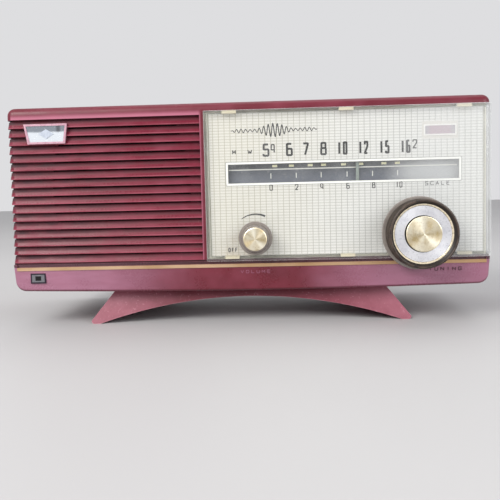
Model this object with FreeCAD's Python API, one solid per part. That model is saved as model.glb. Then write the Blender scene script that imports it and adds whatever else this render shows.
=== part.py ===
"""Tabletop valve radio: a two-part moulded cabinet on a bowed stand.

The left half is a louvred speaker grille, the right half a dial behind a clear lens.
Places inside the cabinet are given as (x, depth, height): x from the centre line,
depth back from the cabinet's front plane, height above the cabinet's underside.
The part stands on Z = 0, faces -Y, and its box is centred on X = 0 and Y = 0.
Lengths are millimetres.
"""
import math
import os

import FreeCAD
import Part

# Overall sizes
cabinet_width = 370.0
cabinet_height = 142.0
cabinet_depth = 130.0
stand_height = 29.0
knob_reach = 22.0

# Cabinet mouldings
wall = 3.0
corner_radius = 6.5
top_radius = 6.0
rear_radius = 1.5
tray_height = 20.2
tray_inset = 0.4
tray_lean = 1.6
tray_side_lean = 1.0
tray_front = 0.6
tray_rear_gap = 1.4
tray_belly = 3.3
tray_end_drop = 0.9
tray_corner = 8.0
tray_edge_radius = 2.3
sill_height = 1.4
sill_front = 2.2
sill_rear = 5.6
lug_width = 10.0

# Openings in the cabinet front
grille_right = -34.5
divider_right = -31.6
grille_lip = 9.5
dial_lip = 6.8
grille_wrap = 26.0
lens_wrap = 12.0
fit_gap = 0.1

# Louvres
slat_count = 17
slat_gap = 1.1
slat_depth = 3.4
slat_side_depth = 1.1
slat_slope = 2.6
slat_side_slope = 0.5
slat_land = 0.7
grille_thickness = 5.6
slot_half_middle = 54.0
slot_half_end = 42.0

# Speaker
cloth_thickness = 0.6
baffle_thickness = 3.0
baffle_floor_gap = 1.0
speaker_x = -97.0
speaker_radius = 59.0
surround_radius = 51.0
flange_thickness = 1.2
basket_depth = 29.0
magnet_radius = 24.0
magnet_length = 19.0
gap_inner_radius = 6.5
gap_outer_radius = 9.0
cone_radius = 48.0
cone_clearance = 0.3
coil_radius = 7.9
coil_wall = 0.5

# Dial
panel_thickness = 1.2
lens_proud = 4.0
lens_wall = 2.2
lens_side_gap = 0.4
lens_corner = 6.0
lens_edge = 1.0
lens_lip_drop = 1.5
lens_lip_gap = 0.2
hook_width = 11.0
window_left_margin = 17.8
window_right_margin = 23.3
window_bottom = 79.7
window_height = 14.6
backplate_front = 7.2
backplate_thickness = 1.0
backplate_margin = 6.2
backplate_lip = 2.7
indicator_width = 22.3
indicator_height = 6.3
indicator_edge = 1.1
indicator_right = 26.45
indicator_drop = 18.7

# Controls
shaft_radius = 3.0
shaft_hole = 4.4
shaft_play = 0.15
bush_radius = 4.6
nut_radius = 6.6
nut_thickness = 2.0
tuning_from_right = 56.0
tuning_height = 39.3
volume_from_divider = 38.0
volume_height = 37.8
knob_gap = 0.8
skirt_radius = 27.5
skirt_thickness = 1.6
tuning_knob_radius = 25.6
tuning_rim_radius = 23.7
tuning_well_radius = 22.0
tuning_well_depth = 4.5
tuning_ring_inner = 13.6
tuning_bezel_inner = 20.6
tuning_cap_radius = 13.0
tuning_cap_height = 3.4
volume_flange_radius = 12.8
volume_flange_thickness = 1.8
volume_knob_radius = 11.2
volume_rim_radius = 9.6
volume_knob_length = 8.2
volume_cap_radius = 8.7
volume_cap_height = 1.4
volume_body_radius = 12.0
volume_body_length = 20.0

# Dial drive
scale_start_margin = 50.7
scale_length = 97.3
pointer_rest = 66.4
cord_depth = 12.0
cord_radius = 0.35
cord_gap = 0.12
spool_flange_radius = 5.0
drum_right_of_tuning = 16.0
drum_above_tuning = 36.7
drum_rim = 1.6
drum_half_width = 1.6
drum_hub_radius = 7.0
idler_left_of_scale = 11.1
idler_pitch_radius = 5.0
pin_radius = 1.2
rail_radius = 0.7
rail_depth = 9.2
rail_below_cord = 5.5
needle_width = 2.4
needle_depth = 5.2
needle_thickness = 0.6
carriage_width = 6.0

# Chassis and what stands on it
sheet = 1.2
chassis_left_margin = 3.6
chassis_right_margin = 22.0
chassis_front = 20.0
chassis_rear_margin = 18.0
chassis_flange = 10.0
chassis_foot = 7.8
post_radius = 4.0
rotor_radius = 15.0
rotor_deck_gap = 2.8
plate_count = 12
plate_pitch = 3.0
plate_thickness = 0.8
capacitor_front = 24.0
capacitor_length = 41.6
capacitor_half_width = 17.5
tube_count = 5
tube_radius = 9.2
tube_height = 46.0
tube_first_margin = 16.0
tube_pitch = 34.0
tube_rear_margin = 28.0
socket_radius = 8.0
socket_flange_radius = 10.5
ferrite_radius = 4.5
ferrite_length = 140.0
ferrite_rear_margin = 12.0
ferrite_above_deck = 66.0
lamp_radius = 4.6
lamp_holder_radius = 5.2

# Back
cover_thickness = 2.5
cover_recess = 1.1
cover_gap = 0.4
vent_width = 3.0
vent_height = 30.0
vent_pitch = 9.0
vent_count = 14
grommet_from_centre = 140.0
grommet_rise = 7.5
grommet_radius = 5.0
grommet_flange = 7.0
cord_bore = 3.2

# Stand
stand_top_half = 105.6
stand_tip_half = 126.5
stand_foot_outer = 124.5
stand_foot_inner = 119.5
stand_tip_rise = 2.5
stand_bow = 9.6
stand_front_top = 16.0
stand_front_foot = 8.0

# Fasteners
screw_radius = 1.5
small_screw_radius = 1.1
screw_head_ratio = 2.0
screw_head_height = 1.6
screw_slot = 0.7

# Worked out from the sizes above
screw_head_radius = screw_radius * screw_head_ratio
small_head_radius = small_screw_radius * screw_head_ratio
half_width = cabinet_width / 2
front_y = (knob_reach - cabinet_depth) / 2
inner_half = half_width - wall
sill_top = tray_height + sill_height
grille_top = cabinet_height - grille_lip
dial_top = cabinet_height - dial_lip
slat_pitch = (grille_top - sill_top) / slat_count
speaker_height = (grille_top + sill_top) / 2
speaker_opening = surround_radius + 0.5
cloth_front = grille_thickness
baffle_front = cloth_front + cloth_thickness
baffle_rear = baffle_front + baffle_thickness
flange_rear = baffle_rear + flange_thickness
basket_rear = baffle_rear + basket_depth
magnet_front = basket_rear + flange_thickness
magnet_rear = magnet_front + magnet_length
tray_rear = cabinet_depth - tray_rear_gap
tray_half = half_width - tray_inset
grommet_height = wall + grommet_rise
panel_front = wall
panel_rear = panel_front + panel_thickness
panel_left = grille_right + 0.5
panel_right = inner_half - 3 * fit_gap
panel_top = cabinet_height - wall - 5 * fit_gap
lens_left = divider_right + lens_side_gap
lens_bottom = sill_top + 3 * fit_gap
lens_top = dial_top - 2 * fit_gap
window_left = divider_right + window_left_margin
window_right = half_width - window_right_margin
window_top = window_bottom + window_height
backplate_rear = backplate_front + backplate_thickness
backplate_top = window_top + backplate_lip
backplate_bottom = window_bottom - backplate_lip
backplate_left = window_left - backplate_margin
backplate_right = window_right + backplate_margin
indicator_centre = half_width - indicator_right - indicator_width / 2
indicator_height_centre = dial_top - indicator_drop
tuning_x = half_width - tuning_from_right
volume_x = divider_right + volume_from_divider
scale_start = divider_right + scale_start_margin
drum_x = tuning_x + drum_right_of_tuning
drum_height = tuning_height + drum_above_tuning
drum_pitch_radius = scale_length / math.pi
spool_pitch_radius = shaft_radius + cord_radius + cord_gap
idler_x = scale_start - idler_left_of_scale
idler_height = drum_height + drum_pitch_radius - idler_pitch_radius
cord_top = drum_height + drum_pitch_radius
rail_height = cord_top - rail_below_cord
pointer_x = scale_start + pointer_rest
chassis_left = divider_right + chassis_left_margin
chassis_right = half_width - chassis_right_margin
chassis_rear = cabinet_depth - chassis_rear_margin
deck_top = drum_height - rotor_radius - rotor_deck_gap
capacitor_rear = capacitor_front + capacitor_length
capacitor_top = drum_height + rotor_radius + 2
ferrite_depth = chassis_rear - ferrite_rear_margin
ferrite_height = deck_top + ferrite_above_deck
cover_rear = cabinet_depth - cover_recess
cover_front = cover_rear - cover_thickness

along_x = FreeCAD.Vector(1, 0, 0)
along_y = FreeCAD.Vector(0, 1, 0)
along_z = FreeCAD.Vector(0, 0, 1)


def at(x, depth, height):
    """A point of the cabinet as a point of the whole part."""
    return FreeCAD.Vector(x, front_y + depth, stand_height + height)


def block(x0, x1, d0, d1, z0, z1):
    """A box between two sides, two depths and two heights."""
    return Part.makeBox(x1 - x0, d1 - d0, z1 - z0, at(x0, d0, z0))


def rod_x(x0, x1, depth, height, radius):
    """A round rod along X."""
    return Part.makeCylinder(radius, x1 - x0, at(x0, depth, height), along_x)


def rod_y(x, height, d0, d1, radius):
    """A round rod along Y."""
    return Part.makeCylinder(radius, d1 - d0, at(x, d0, height), along_y)


def rod_z(x, depth, z0, z1, radius):
    """A round rod along Z."""
    return Part.makeCylinder(radius, z1 - z0, at(x, depth, z0), along_z)


def polygon_face(points):
    """A flat face inside a closed run of straight edges."""
    return Part.Face(Part.makePolygon(points + points[:1]))


def turned(x, height, outline):
    """A solid turned about the Y axis through x and height, from (depth, radius) corners."""
    points = [at(x + radius, depth, height) for depth, radius in outline]
    return polygon_face(points).revolve(at(x, 0, height), along_y, 360)


def plate_xz(corners, d0, d1):
    """A plate that faces -Y, from its (x, height) corners."""
    points = [at(x, d0, height) for x, height in corners]
    return polygon_face(points).extrude(FreeCAD.Vector(0, d1 - d0, 0))


def plate_yz(corners, x0, x1):
    """A plate across X, from its (depth, height) corners."""
    points = [at(x0, depth, height) for depth, height in corners]
    return polygon_face(points).extrude(FreeCAD.Vector(x1 - x0, 0, 0))


def merged(pieces):
    """One solid from pieces that overlap or share faces."""
    return pieces[0].multiFuse(pieces[1:]).removeSplitter()


def group(pieces):
    """Alike pieces that stay apart in one node."""
    return Part.makeCompound(pieces)


def rounded_plan(x0, x1, d0, d1, radii, height):
    """A level outline with its front left, front right, rear right and rear left corners rounded."""
    signs = [(1, 1), (-1, 1), (-1, -1), (1, -1)]
    corners = [(x0, d0), (x1, d0), (x1, d1), (x0, d1)]
    bulge = 1 - math.sqrt(0.5)
    stops = []
    for number, ((x, depth), (sx, sd), radius) in enumerate(zip(corners, signs, radii)):
        along_side = at(x, depth + sd * radius, height)
        along_face = at(x + sx * radius, depth, height)
        middle = at(x + sx * radius * bulge, depth + sd * radius * bulge, height)
        ends = (along_side, along_face) if number % 2 == 0 else (along_face, along_side)
        stops.append((ends[0], middle, ends[1], radius))
    edges = []
    for number, (start, middle, end, radius) in enumerate(stops):
        if radius > 0:
            edges.append(Part.Arc(start, middle, end).toShape())
        edges.append(Part.LineSegment(end, stops[(number + 1) % len(stops)][0]).toShape())
    return Part.Wire(edges)


def prism(wire, length):
    """A level outline raised straight up."""
    return Part.Face(wire).extrude(FreeCAD.Vector(0, 0, length))


def edges_at(shape, height, front_only=False):
    """The edges of a shape that lie at one height."""
    level = stand_height + height
    near = 0.01
    chosen = []
    for edge in shape.Edges:
        box = edge.BoundBox
        if abs(box.ZMin - level) > near or abs(box.ZMax - level) > near:
            continue
        if front_only and box.YMin > front_y + lens_wrap - 1:
            continue
        chosen.append(edge)
    return chosen


def screw(seat, direction, length, radius=screw_radius):
    """A slotted screw: its head stands on the seat and its shank runs along the direction."""
    head_radius = radius * screw_head_ratio
    shank = Part.makeCylinder(radius, length, seat, direction)
    head = Part.makeCylinder(head_radius, screw_head_height, seat, direction * -1)
    body = shank.fuse(head)
    across = direction.cross(along_z) if abs(direction.z) < 0.5 else along_x
    reach = head_radius + 1
    corner = seat - direction * (screw_head_height + 1) - across * reach
    side = direction.cross(across) * (screw_slot / 2)
    points = [corner - side, corner + side, corner + side + across * 2 * reach,
              corner - side + across * 2 * reach]
    slot = polygon_face(points).extrude(direction * (1 + screw_head_height / 2))
    return body.cut(slot)


def screw_hole(seat, direction, length, radius=screw_radius):
    """The hole that a screw's shank fills."""
    return Part.makeCylinder(radius, length, seat, direction)


def mirrored_places(x, depths):
    """Places at both sides of the centre line."""
    return [(side * x, depth) for side in (-1, 1) for depth in depths]


# ---- Cabinet ----

case_post_radius = 6.0
case_seat = 8.0
case_screw_length = 20.0
case_lug_top = 30.0
case_x = half_width - 13.0
case_places = mirrored_places(case_x, [36.0, cabinet_depth - 34.0])
cover_lug_depth = 8.4
cover_lug_height = 10.0
cover_lug_bottoms = [tray_height + 3.8, cabinet_height - wall - cover_lug_height]
cover_screw_length = 8.0
baffle_screw_length = 5.5
baffle_screw_top = cabinet_height - wall - screw_head_radius - 2 * fit_gap
baffle_screw_bottom = 9.0
baffle_screw_x = [speaker_x - 53.0, speaker_x + 37.0]
panel_screw_height = cabinet_height - wall - small_head_radius - 2 * fit_gap
panel_screw_length = 3.0
panel_screw_x = [panel_left + 20.0, (panel_left + panel_right) / 2, panel_right - 20.0]
chassis_screw_length = 7.0
chassis_places = [(x, depth) for x in (chassis_left + 8,
                                       chassis_right - 8) for depth in (chassis_front + 5,
                                                                        chassis_rear - 5)]
stand_screw_x = 60.0
stand_boss_radius = 5.0
stand_boss_top = 11.0
stand_seat = -tray_belly - wall
stand_screw_length = 13.0
stand_places = mirrored_places(stand_screw_x, [35.0, cabinet_depth - 38.0])
plate_left = -171.0
plate_right = -159.0
plate_bottom = 5.3
plate_top = 13.3
plate_front = 0.9
plate_rear = 2.1
trim_half = half_width - 3.7
trim_bottom = 15.4
trim_top = 17.9
trim_front = 0.35
trim_rear = 1.95
recess_depth = 2.2


def tray_side(inset, height):
    """How far the tray's side is from the centre line at a height."""
    return tray_half - tray_side_lean * (1 - height / tray_height) - inset


def tray_face(inset, height):
    """How far back the tray's leaning front is at a height."""
    return tray_front + tray_lean * (1 - height / tray_height) + inset


def tray_block(inset, top):
    """The tray's outer shape with its bowed underside, or its hollow when it is inset."""
    low = inset - tray_end_drop
    belly = inset - tray_belly
    corners = [
        at(tray_side(inset, low), 0, low), at(tray_side(inset, top), 0, top),
        at(-tray_side(inset, top), 0, top), at(-tray_side(inset, low), 0, low),
    ]
    edges = [Part.LineSegment(corners[number], corners[number + 1]).toShape() for number in range(3)]
    edges.append(Part.Arc(corners[3], at(0, 0, belly), corners[0]).toShape())
    body = Part.Face(Part.Wire(edges)).extrude(FreeCAD.Vector(0, cabinet_depth, 0))
    body = body.makeFillet(tray_corner - inset, edges_at(body, low))
    rear = tray_rear - inset
    profile = [(tray_face(inset, belly), belly), (tray_face(inset, top), top), (rear, top), (rear, belly)]
    return body.common(plate_yz(profile, -half_width, half_width))


def tray_outside():
    """The tray as a solid, with the edges round its front and its back rounded."""
    body = tray_block(0, tray_height)
    faces = sorted(body.Faces, key=lambda face: face.CenterOfMass.y)
    top = stand_height + tray_height - fit_gap
    edges = [edge for face in (faces[0], faces[-1]) for edge in face.Edges if edge.BoundBox.ZMin < top]
    return body.makeFillet(tray_edge_radius, edges)


def base_tray():
    """The shallow lower moulding with its posts, its trim groove and its cord hole."""
    posts = [rod_z(x, depth, -tray_belly, tray_height, case_post_radius) for x, depth in case_places]
    posts += [rod_z(x, depth, -tray_belly, chassis_foot, post_radius) for x, depth in chassis_places]
    posts += [rod_z(x, depth, -tray_belly, stand_boss_top, stand_boss_radius) for x, depth in stand_places]
    for x in baffle_screw_x:
        posts.append(block(x - lug_width / 2, x + lug_width / 2, wall + tray_front, baffle_front,
                           baffle_screw_bottom - 4, baffle_screw_bottom + 4))
    cuts = []
    for x, depth in case_places:
        cuts.append(rod_z(x, depth, -tray_belly, case_seat, screw_head_radius + fit_gap))
        cuts.append(screw_hole(at(x, depth, case_seat), along_z, case_screw_length))
    for x, depth in chassis_places:
        cuts.append(screw_hole(at(x, depth, chassis_foot + sheet), along_z * -1, chassis_screw_length))
    for x, depth in stand_places:
        cuts.append(screw_hole(at(x, depth, stand_seat), along_z, stand_screw_length))
    for x in baffle_screw_x:
        cuts.append(screw_hole(at(x, baffle_rear, baffle_screw_bottom), along_y * -1, baffle_screw_length))
    cuts.append(rod_y(grommet_from_centre, grommet_height, tray_rear - 2 * wall, cabinet_depth,
                      grommet_radius))
    cuts.append(block(-trim_half, trim_half, -1, trim_rear, trim_bottom, trim_top))
    cuts.append(block(-trim_half, trim_half, -1, recess_depth, trim_top, tray_height))
    cuts.append(block(plate_left, plate_right, -1, plate_rear, plate_bottom, plate_top))
    outside = tray_outside()
    walls = outside.cut(tray_block(wall, tray_height + 1))
    return merged([walls] + [post.common(outside) for post in posts]).cut(cuts)


def shell_body():
    """The upper moulding before its openings are cut."""
    plan = rounded_plan(-half_width, half_width, 0, cabinet_depth,
                        [corner_radius, corner_radius, rear_radius, rear_radius], tray_height)
    outer = prism(plan, cabinet_height - tray_height)
    outer = outer.makeFillet(min(top_radius, 2 * wall), edges_at(outer, cabinet_height))
    inner = block(-inner_half, inner_half, wall, cabinet_depth + 1, tray_height - 1, cabinet_height - wall)
    grille_opening = block(-half_width - 1, grille_right, -1, grille_wrap, sill_top, grille_top)
    dial_opening = block(divider_right, half_width + 1, -1, lens_wrap, sill_top, dial_top)
    rail = block(-half_width - 1, half_width + 1, -1, sill_front, tray_height, sill_top)
    return outer.cut([inner, grille_opening, dial_opening, rail])


def cabinet_shell():
    """The upper moulding: top, sides, divider, sill and the lugs that screws go into."""
    pieces = [shell_body()]
    pieces.append(block(-inner_half - 1, inner_half + 1, sill_front, sill_rear, tray_height, sill_top))
    for x, depth in case_places:
        outer = math.copysign(inner_half + 1, x)
        inner = x - math.copysign(case_post_radius, x)
        pieces.append(block(min(outer, inner), max(outer, inner), depth - case_post_radius,
                            depth + case_post_radius, tray_height, case_lug_top))
    for side, bottom in cover_lug_places():
        outer = side * (inner_half + 1)
        inner = side * (inner_half - lug_width)
        pieces.append(block(min(outer, inner), max(outer, inner), cover_front - cover_lug_depth,
                            cover_front, bottom, bottom + cover_lug_height))
    for x in baffle_screw_x:
        pieces.append(block(x - lug_width / 2, x + lug_width / 2, wall - 1, baffle_front,
                            grille_top + 3 * fit_gap, cabinet_height - wall + 1))
    cuts = []
    for x, depth in case_places:
        cuts.append(screw_hole(at(x, depth, case_seat), along_z, case_screw_length))
    for x, height in cover_screw_places():
        cuts.append(screw_hole(at(x, cover_rear, height), along_y * -1, cover_screw_length))
    for x in baffle_screw_x:
        cuts.append(screw_hole(at(x, baffle_rear, baffle_screw_top), along_y * -1, baffle_screw_length))
    for x in panel_screw_x:
        cuts.append(screw_hole(at(x, panel_rear, panel_screw_height), along_y * -1, panel_screw_length,
                               small_screw_radius))
    return merged(pieces).cut(cuts)


def cover_lug_places():
    """Which side and which height each rear cover lug has."""
    return [(side, bottom) for side in (-1, 1) for bottom in cover_lug_bottoms]


def cover_screw_places():
    """The x and height of each rear cover screw."""
    return [(side * (inner_half - lug_width / 2), bottom + cover_lug_height / 2)
            for side, bottom in cover_lug_places()]


def case_screws():
    """Four long screws from under the tray into the shell's lugs."""
    return group([screw(at(x, depth, case_seat), along_z, case_screw_length) for x, depth in case_places])


def gold_trim():
    """The metal strip in the groove along the tray's front."""
    return block(-trim_half, trim_half, trim_front, trim_rear, trim_bottom, trim_top)


def corner_plate():
    """The small square plate at the left end of the tray's front."""
    return block(plate_left, plate_right, plate_front, plate_rear, plate_bottom, plate_top)


# ---- Louvred grille ----

badge_top = (-169.9, -136.2, 128.8)
badge_bottom = (-167.3, -138.1, 113.6)
badge_rim = 1.5
badge_proud = 1.6
mirror_proud = 1.0
emblem_proud = 1.4
emblem_half = (6.0, 3.6)


def grille_corner(front, side, height):
    """Three points round the cabinet's corner: on the front leg, between, and on the left leg."""
    share = math.sqrt(0.5)
    centre = corner_radius - half_width
    middle_x = centre - (corner_radius - side) * share
    middle_depth = corner_radius - (corner_radius - front) * share
    return [
        at(centre, front, height),
        at(middle_x, middle_depth, height),
        at(side - half_width, corner_radius, height),
    ]


def grille_plan(outer, inner, height):
    """The grille's level outline, from how far in its (front, side) faces are: two legs and a corner."""
    right = grille_right - fit_gap
    rear = grille_wrap - fit_gap
    points = [at(right, outer[0], height)]
    points += grille_corner(outer[0], outer[1], height)
    points.append(at(outer[1] - half_width, rear, height))
    points.append(at(inner[1] - half_width, rear, height))
    points += reversed(grille_corner(inner[0], inner[1], height))
    points.append(at(right, inner[0], height))
    edges = [
        Part.LineSegment(points[0], points[1]),
        Part.Arc(points[1], points[2], points[3]),
        Part.LineSegment(points[3], points[4]),
        Part.LineSegment(points[4], points[5]),
        Part.LineSegment(points[5], points[6]),
        Part.Arc(points[6], points[7], points[8]),
        Part.LineSegment(points[8], points[9]),
        Part.LineSegment(points[9], points[0]),
    ]
    return Part.Wire([edge.toShape() for edge in edges])


def slat(bottom):
    """One louvre: a narrow upright edge below, and a face that slopes back above it."""
    inner = (slat_depth + fit_gap, slat_side_depth + fit_gap)
    land_top = bottom + slat_land
    top = bottom + slat_pitch - slat_gap
    land = prism(grille_plan((0, 0), inner, bottom), slat_land)
    low = grille_plan((0, 0), inner, land_top)
    high = grille_plan((slat_slope, slat_side_slope), inner, top)
    return land.fuse(Part.makeLoft([low, high], True, True))


def sound_slot(number):
    """The opening behind the gap over a slat, as long as the speaker's round front needs there."""
    top = sill_top + number * slat_pitch
    half_rise = (grille_top - sill_top) / 2
    share = (top - slat_gap / 2 - speaker_height) / half_rise
    half = slot_half_end + (slot_half_middle - slot_half_end) * math.cos(share * math.pi / 2)
    return block(speaker_x - half, speaker_x + half, slat_slope, grille_thickness + 1, top - slat_gap, top)


def badge_outline(inset):
    """The badge's (x, height) corners, moved inwards."""
    return [
        (badge_bottom[0] + inset, badge_bottom[2] + inset),
        (badge_bottom[1] - inset, badge_bottom[2] + inset),
        (badge_top[1] - inset, badge_top[2] - inset),
        (badge_top[0] + inset, badge_top[2] - inset),
    ]


def louvre_grille():
    """Seventeen louvres on a slotted back, with a flat pad behind the badge."""
    plan = grille_plan((slat_depth, slat_side_depth), (grille_thickness, grille_thickness), sill_top)
    back = prism(plan, grille_top - sill_top)
    slats = [slat(sill_top + number * slat_pitch) for number in range(slat_count)]
    pad = plate_xz(badge_outline(0), 0, slat_depth + fit_gap)
    slots = [sound_slot(number) for number in range(1, slat_count)]
    return merged([back] + slats).cut(slots).fuse(pad)


def badge_frame():
    """The badge's raised rim."""
    rim = plate_xz(badge_outline(0), -badge_proud, 0)
    return rim.cut(plate_xz(badge_outline(badge_rim), -badge_proud - 1, 1))


def badge_mirror():
    """The bright plate inside the rim."""
    return plate_xz(badge_outline(badge_rim), -mirror_proud, 0)


def badge_emblem():
    """A plain lozenge on the bright plate."""
    x = (badge_bottom[0] + badge_bottom[1]) / 2
    height = (badge_bottom[2] + badge_top[2]) / 2
    half_x, half_z = emblem_half
    corners = [(x - half_x, height), (x, height - half_z), (x + half_x, height), (x, height + half_z)]
    return plate_xz(corners, -emblem_proud, -mirror_proud)


# ---- Speaker ----

speaker_screw_radius = speaker_radius - screw_head_radius - 2 * fit_gap
speaker_screw_length = 3.6
cloth_margin = 1.5
baffle_left = corner_radius - half_width


def speaker_cloth():
    """The cloth between the grille and the baffle."""
    return block(baffle_left, grille_right - cloth_margin, cloth_front, baffle_front,
                 sill_top + cloth_margin, grille_top - cloth_margin)


def speaker_screw_places():
    """The x and height of the four screws that hold the speaker."""
    places = []
    for number in range(4):
        angle = math.radians(45 + 90 * number)
        places.append((speaker_x + speaker_screw_radius * math.cos(angle),
                       speaker_height + speaker_screw_radius * math.sin(angle)))
    return places


def baffle_screw_places():
    """The x and height of the four screws that hold the baffle."""
    return [(x, height) for x in baffle_screw_x for height in (baffle_screw_bottom, baffle_screw_top)]


def speaker_baffle():
    """The board behind the grille, with a round opening for the speaker."""
    board = block(baffle_left, grille_right - cloth_margin / 2, baffle_front, baffle_rear,
                  wall + baffle_floor_gap, cabinet_height - wall - baffle_floor_gap)
    cuts = [rod_y(speaker_x, speaker_height, baffle_front - 1, baffle_rear + 1, speaker_opening)]
    for x, height in baffle_screw_places():
        cuts.append(screw_hole(at(x, baffle_rear, height), along_y * -1, baffle_screw_length))
    for x, height in speaker_screw_places():
        cuts.append(screw_hole(at(x, flange_rear, height), along_y * -1, speaker_screw_length))
    return board.cut(cuts)


def baffle_screws():
    """Four screws through the baffle and four through the speaker's flange."""
    screws = []
    for x, height in baffle_screw_places():
        screws.append(screw(at(x, baffle_rear, height), along_y * -1, baffle_screw_length))
    for x, height in speaker_screw_places():
        screws.append(screw(at(x, flange_rear, height), along_y * -1, speaker_screw_length))
    return group(screws)


def speaker_frame():
    """The speaker's pressed basket: flange, tapering wall with windows, and rear ring."""
    outline = [
        (baffle_rear, surround_radius),
        (baffle_rear, speaker_radius),
        (flange_rear, speaker_radius),
        (flange_rear, surround_radius + flange_thickness),
        (basket_rear, magnet_radius + flange_thickness),
        (magnet_front, magnet_radius),
        (magnet_front, gap_outer_radius + 1),
        (basket_rear, gap_outer_radius + 1),
        (basket_rear, magnet_radius),
        (flange_rear, surround_radius),
    ]
    frame = turned(speaker_x, speaker_height, outline)
    window_near = flange_rear + 6
    window_far = basket_rear - 4
    window_half = 14.0
    cuts = []
    for number in range(4):
        window = block(speaker_x + gap_outer_radius, speaker_x + speaker_radius, window_near, window_far,
                       speaker_height - window_half, speaker_height + window_half)
        window.rotate(at(speaker_x, 0, speaker_height), along_y, 90 * number)
        cuts.append(window)
    for x, height in speaker_screw_places():
        cuts.append(screw_hole(at(x, flange_rear, height), along_y * -1, speaker_screw_length))
    return frame.cut(cuts)


def speaker_surround():
    """The soft ring between the flange and the cone, with one roll."""
    roll = (surround_radius + cone_radius + cone_clearance) / 2
    back = baffle_rear + 0.6
    outline = [
        (baffle_rear, cone_radius + cone_clearance),
        (baffle_rear, roll - 1),
        (baffle_rear - 1, roll),
        (baffle_rear, roll + 1),
        (baffle_rear, surround_radius),
        (back, surround_radius),
        (back, roll + 1.2),
        (back - 0.9, roll),
        (back, roll - 1.2),
        (back, cone_radius + cone_clearance),
    ]
    return turned(speaker_x, speaker_height, outline)


def speaker_magnet():
    """The magnet pot: its round gap takes the voice coil."""
    gap_floor = magnet_front + 13
    outline = [
        (magnet_front, 0),
        (magnet_front, gap_inner_radius),
        (gap_floor, gap_inner_radius),
        (gap_floor, gap_outer_radius),
        (magnet_front, gap_outer_radius),
        (magnet_front, magnet_radius),
        (magnet_front + 3, magnet_radius),
        (magnet_front + 3, magnet_radius - 3),
        (magnet_rear - 4, magnet_radius - 3),
        (magnet_rear - 4, magnet_radius),
        (magnet_rear, magnet_radius),
        (magnet_rear, 0),
    ]
    return turned(speaker_x, speaker_height, outline)


def speaker_cone():
    """The paper cone, its dust cap and its voice coil, which slide together."""
    rim_front = baffle_rear + 2.4
    neck_front = basket_rear - 5
    paper = 0.6
    coil_end = magnet_front + 8
    inner = coil_radius - coil_wall
    outline = [
        (rim_front, cone_radius - 1.5),
        (rim_front, cone_radius),
        (rim_front + paper, cone_radius),
        (neck_front, coil_radius + 1.2),
        (neck_front + paper, coil_radius),
        (coil_end, coil_radius),
        (coil_end, inner),
        (neck_front - 1, inner),
        (neck_front - 4, 0),
        (neck_front - 4 - paper, 0),
        (neck_front - 1.2, inner + 0.9),
    ]
    return turned(speaker_x, speaker_height, outline)


# ---- Dial ----

lens_front = -lens_proud
hook_centres = [divider_right + 19.8, (divider_right + half_width) / 2, half_width - 20.5]
hook_front = -1.0
standoff_radius = 2.0
standoff_inset = 3.0
dial_screw_length = 5.0


def hook_spans():
    """The x span and height span of each hook that holds the lens."""
    spans = []
    for x in hook_centres:
        spans.append((x - hook_width / 2, x + hook_width / 2, lens_bottom + fit_gap,
                      lens_bottom + lens_wall))
        spans.append((x - hook_width / 2, x + hook_width / 2, lens_top - lens_wall, lens_top - fit_gap))
    return spans


def backplate_corners():
    """The x and height of the four spacers behind the printed panel."""
    return [(x, height)
            for x in (backplate_left + standoff_inset, backplate_right - standoff_inset)
            for height in (backplate_bottom + standoff_inset, backplate_top - standoff_inset)]


def dial_panel():
    """The printed panel with its long window, its indicator opening and its lens hooks."""
    pieces = [block(panel_left, panel_right, panel_front, panel_rear, sill_top, panel_top)]
    for x0, x1, z0, z1 in hook_spans():
        pieces.append(block(x0, x1, hook_front, panel_rear, z0, z1))
    for x, height in backplate_corners():
        pieces.append(rod_y(x, height, panel_front, backplate_front, standoff_radius))
    cuts = [block(window_left, window_right, panel_front - 1, panel_rear + 1, window_bottom, window_top)]
    cuts.append(rod_y(tuning_x, tuning_height, 0, panel_rear + 1, shaft_hole))
    cuts.append(rod_y(volume_x, volume_height, 0, panel_rear + 1, shaft_hole))
    cuts.append(indicator_block(0, panel_front - 1, panel_rear + 1))
    for x, height in backplate_corners():
        cuts.append(screw_hole(at(x, backplate_rear, height), along_y * -1, dial_screw_length,
                               small_screw_radius))
    for x in panel_screw_x:
        cuts.append(screw_hole(at(x, panel_rear, panel_screw_height), along_y * -1, panel_screw_length,
                               small_screw_radius))
    return merged(pieces).cut(cuts)


def indicator_block(margin, d0, d1):
    """A block round the tuning indicator's centre."""
    half_x = indicator_width / 2 + margin
    half_z = indicator_height / 2 + margin
    return block(indicator_centre - half_x, indicator_centre + half_x, d0, d1,
                 indicator_height_centre - half_z, indicator_height_centre + half_z)


def indicator_frame():
    """The thin rim round the indicator, on the panel's face."""
    rim = indicator_block(indicator_edge, panel_front - 0.5, panel_front)
    return rim.cut(indicator_block(0, panel_front - 1, panel_rear))


def indicator_window():
    """The tinted window that the pilot lamp lights."""
    return indicator_block(0, panel_front - 0.3, panel_rear)


def dial_screws():
    """Three screws hold the panel to the shell and four hold the backplate to the panel."""
    screws = []
    for x in panel_screw_x:
        screws.append(screw(at(x, panel_rear, panel_screw_height), along_y * -1, panel_screw_length,
                            small_screw_radius))
    for x, height in backplate_corners():
        screws.append(screw(at(x, backplate_rear, height), along_y * -1, dial_screw_length,
                            small_screw_radius))
    return group(screws)


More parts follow.
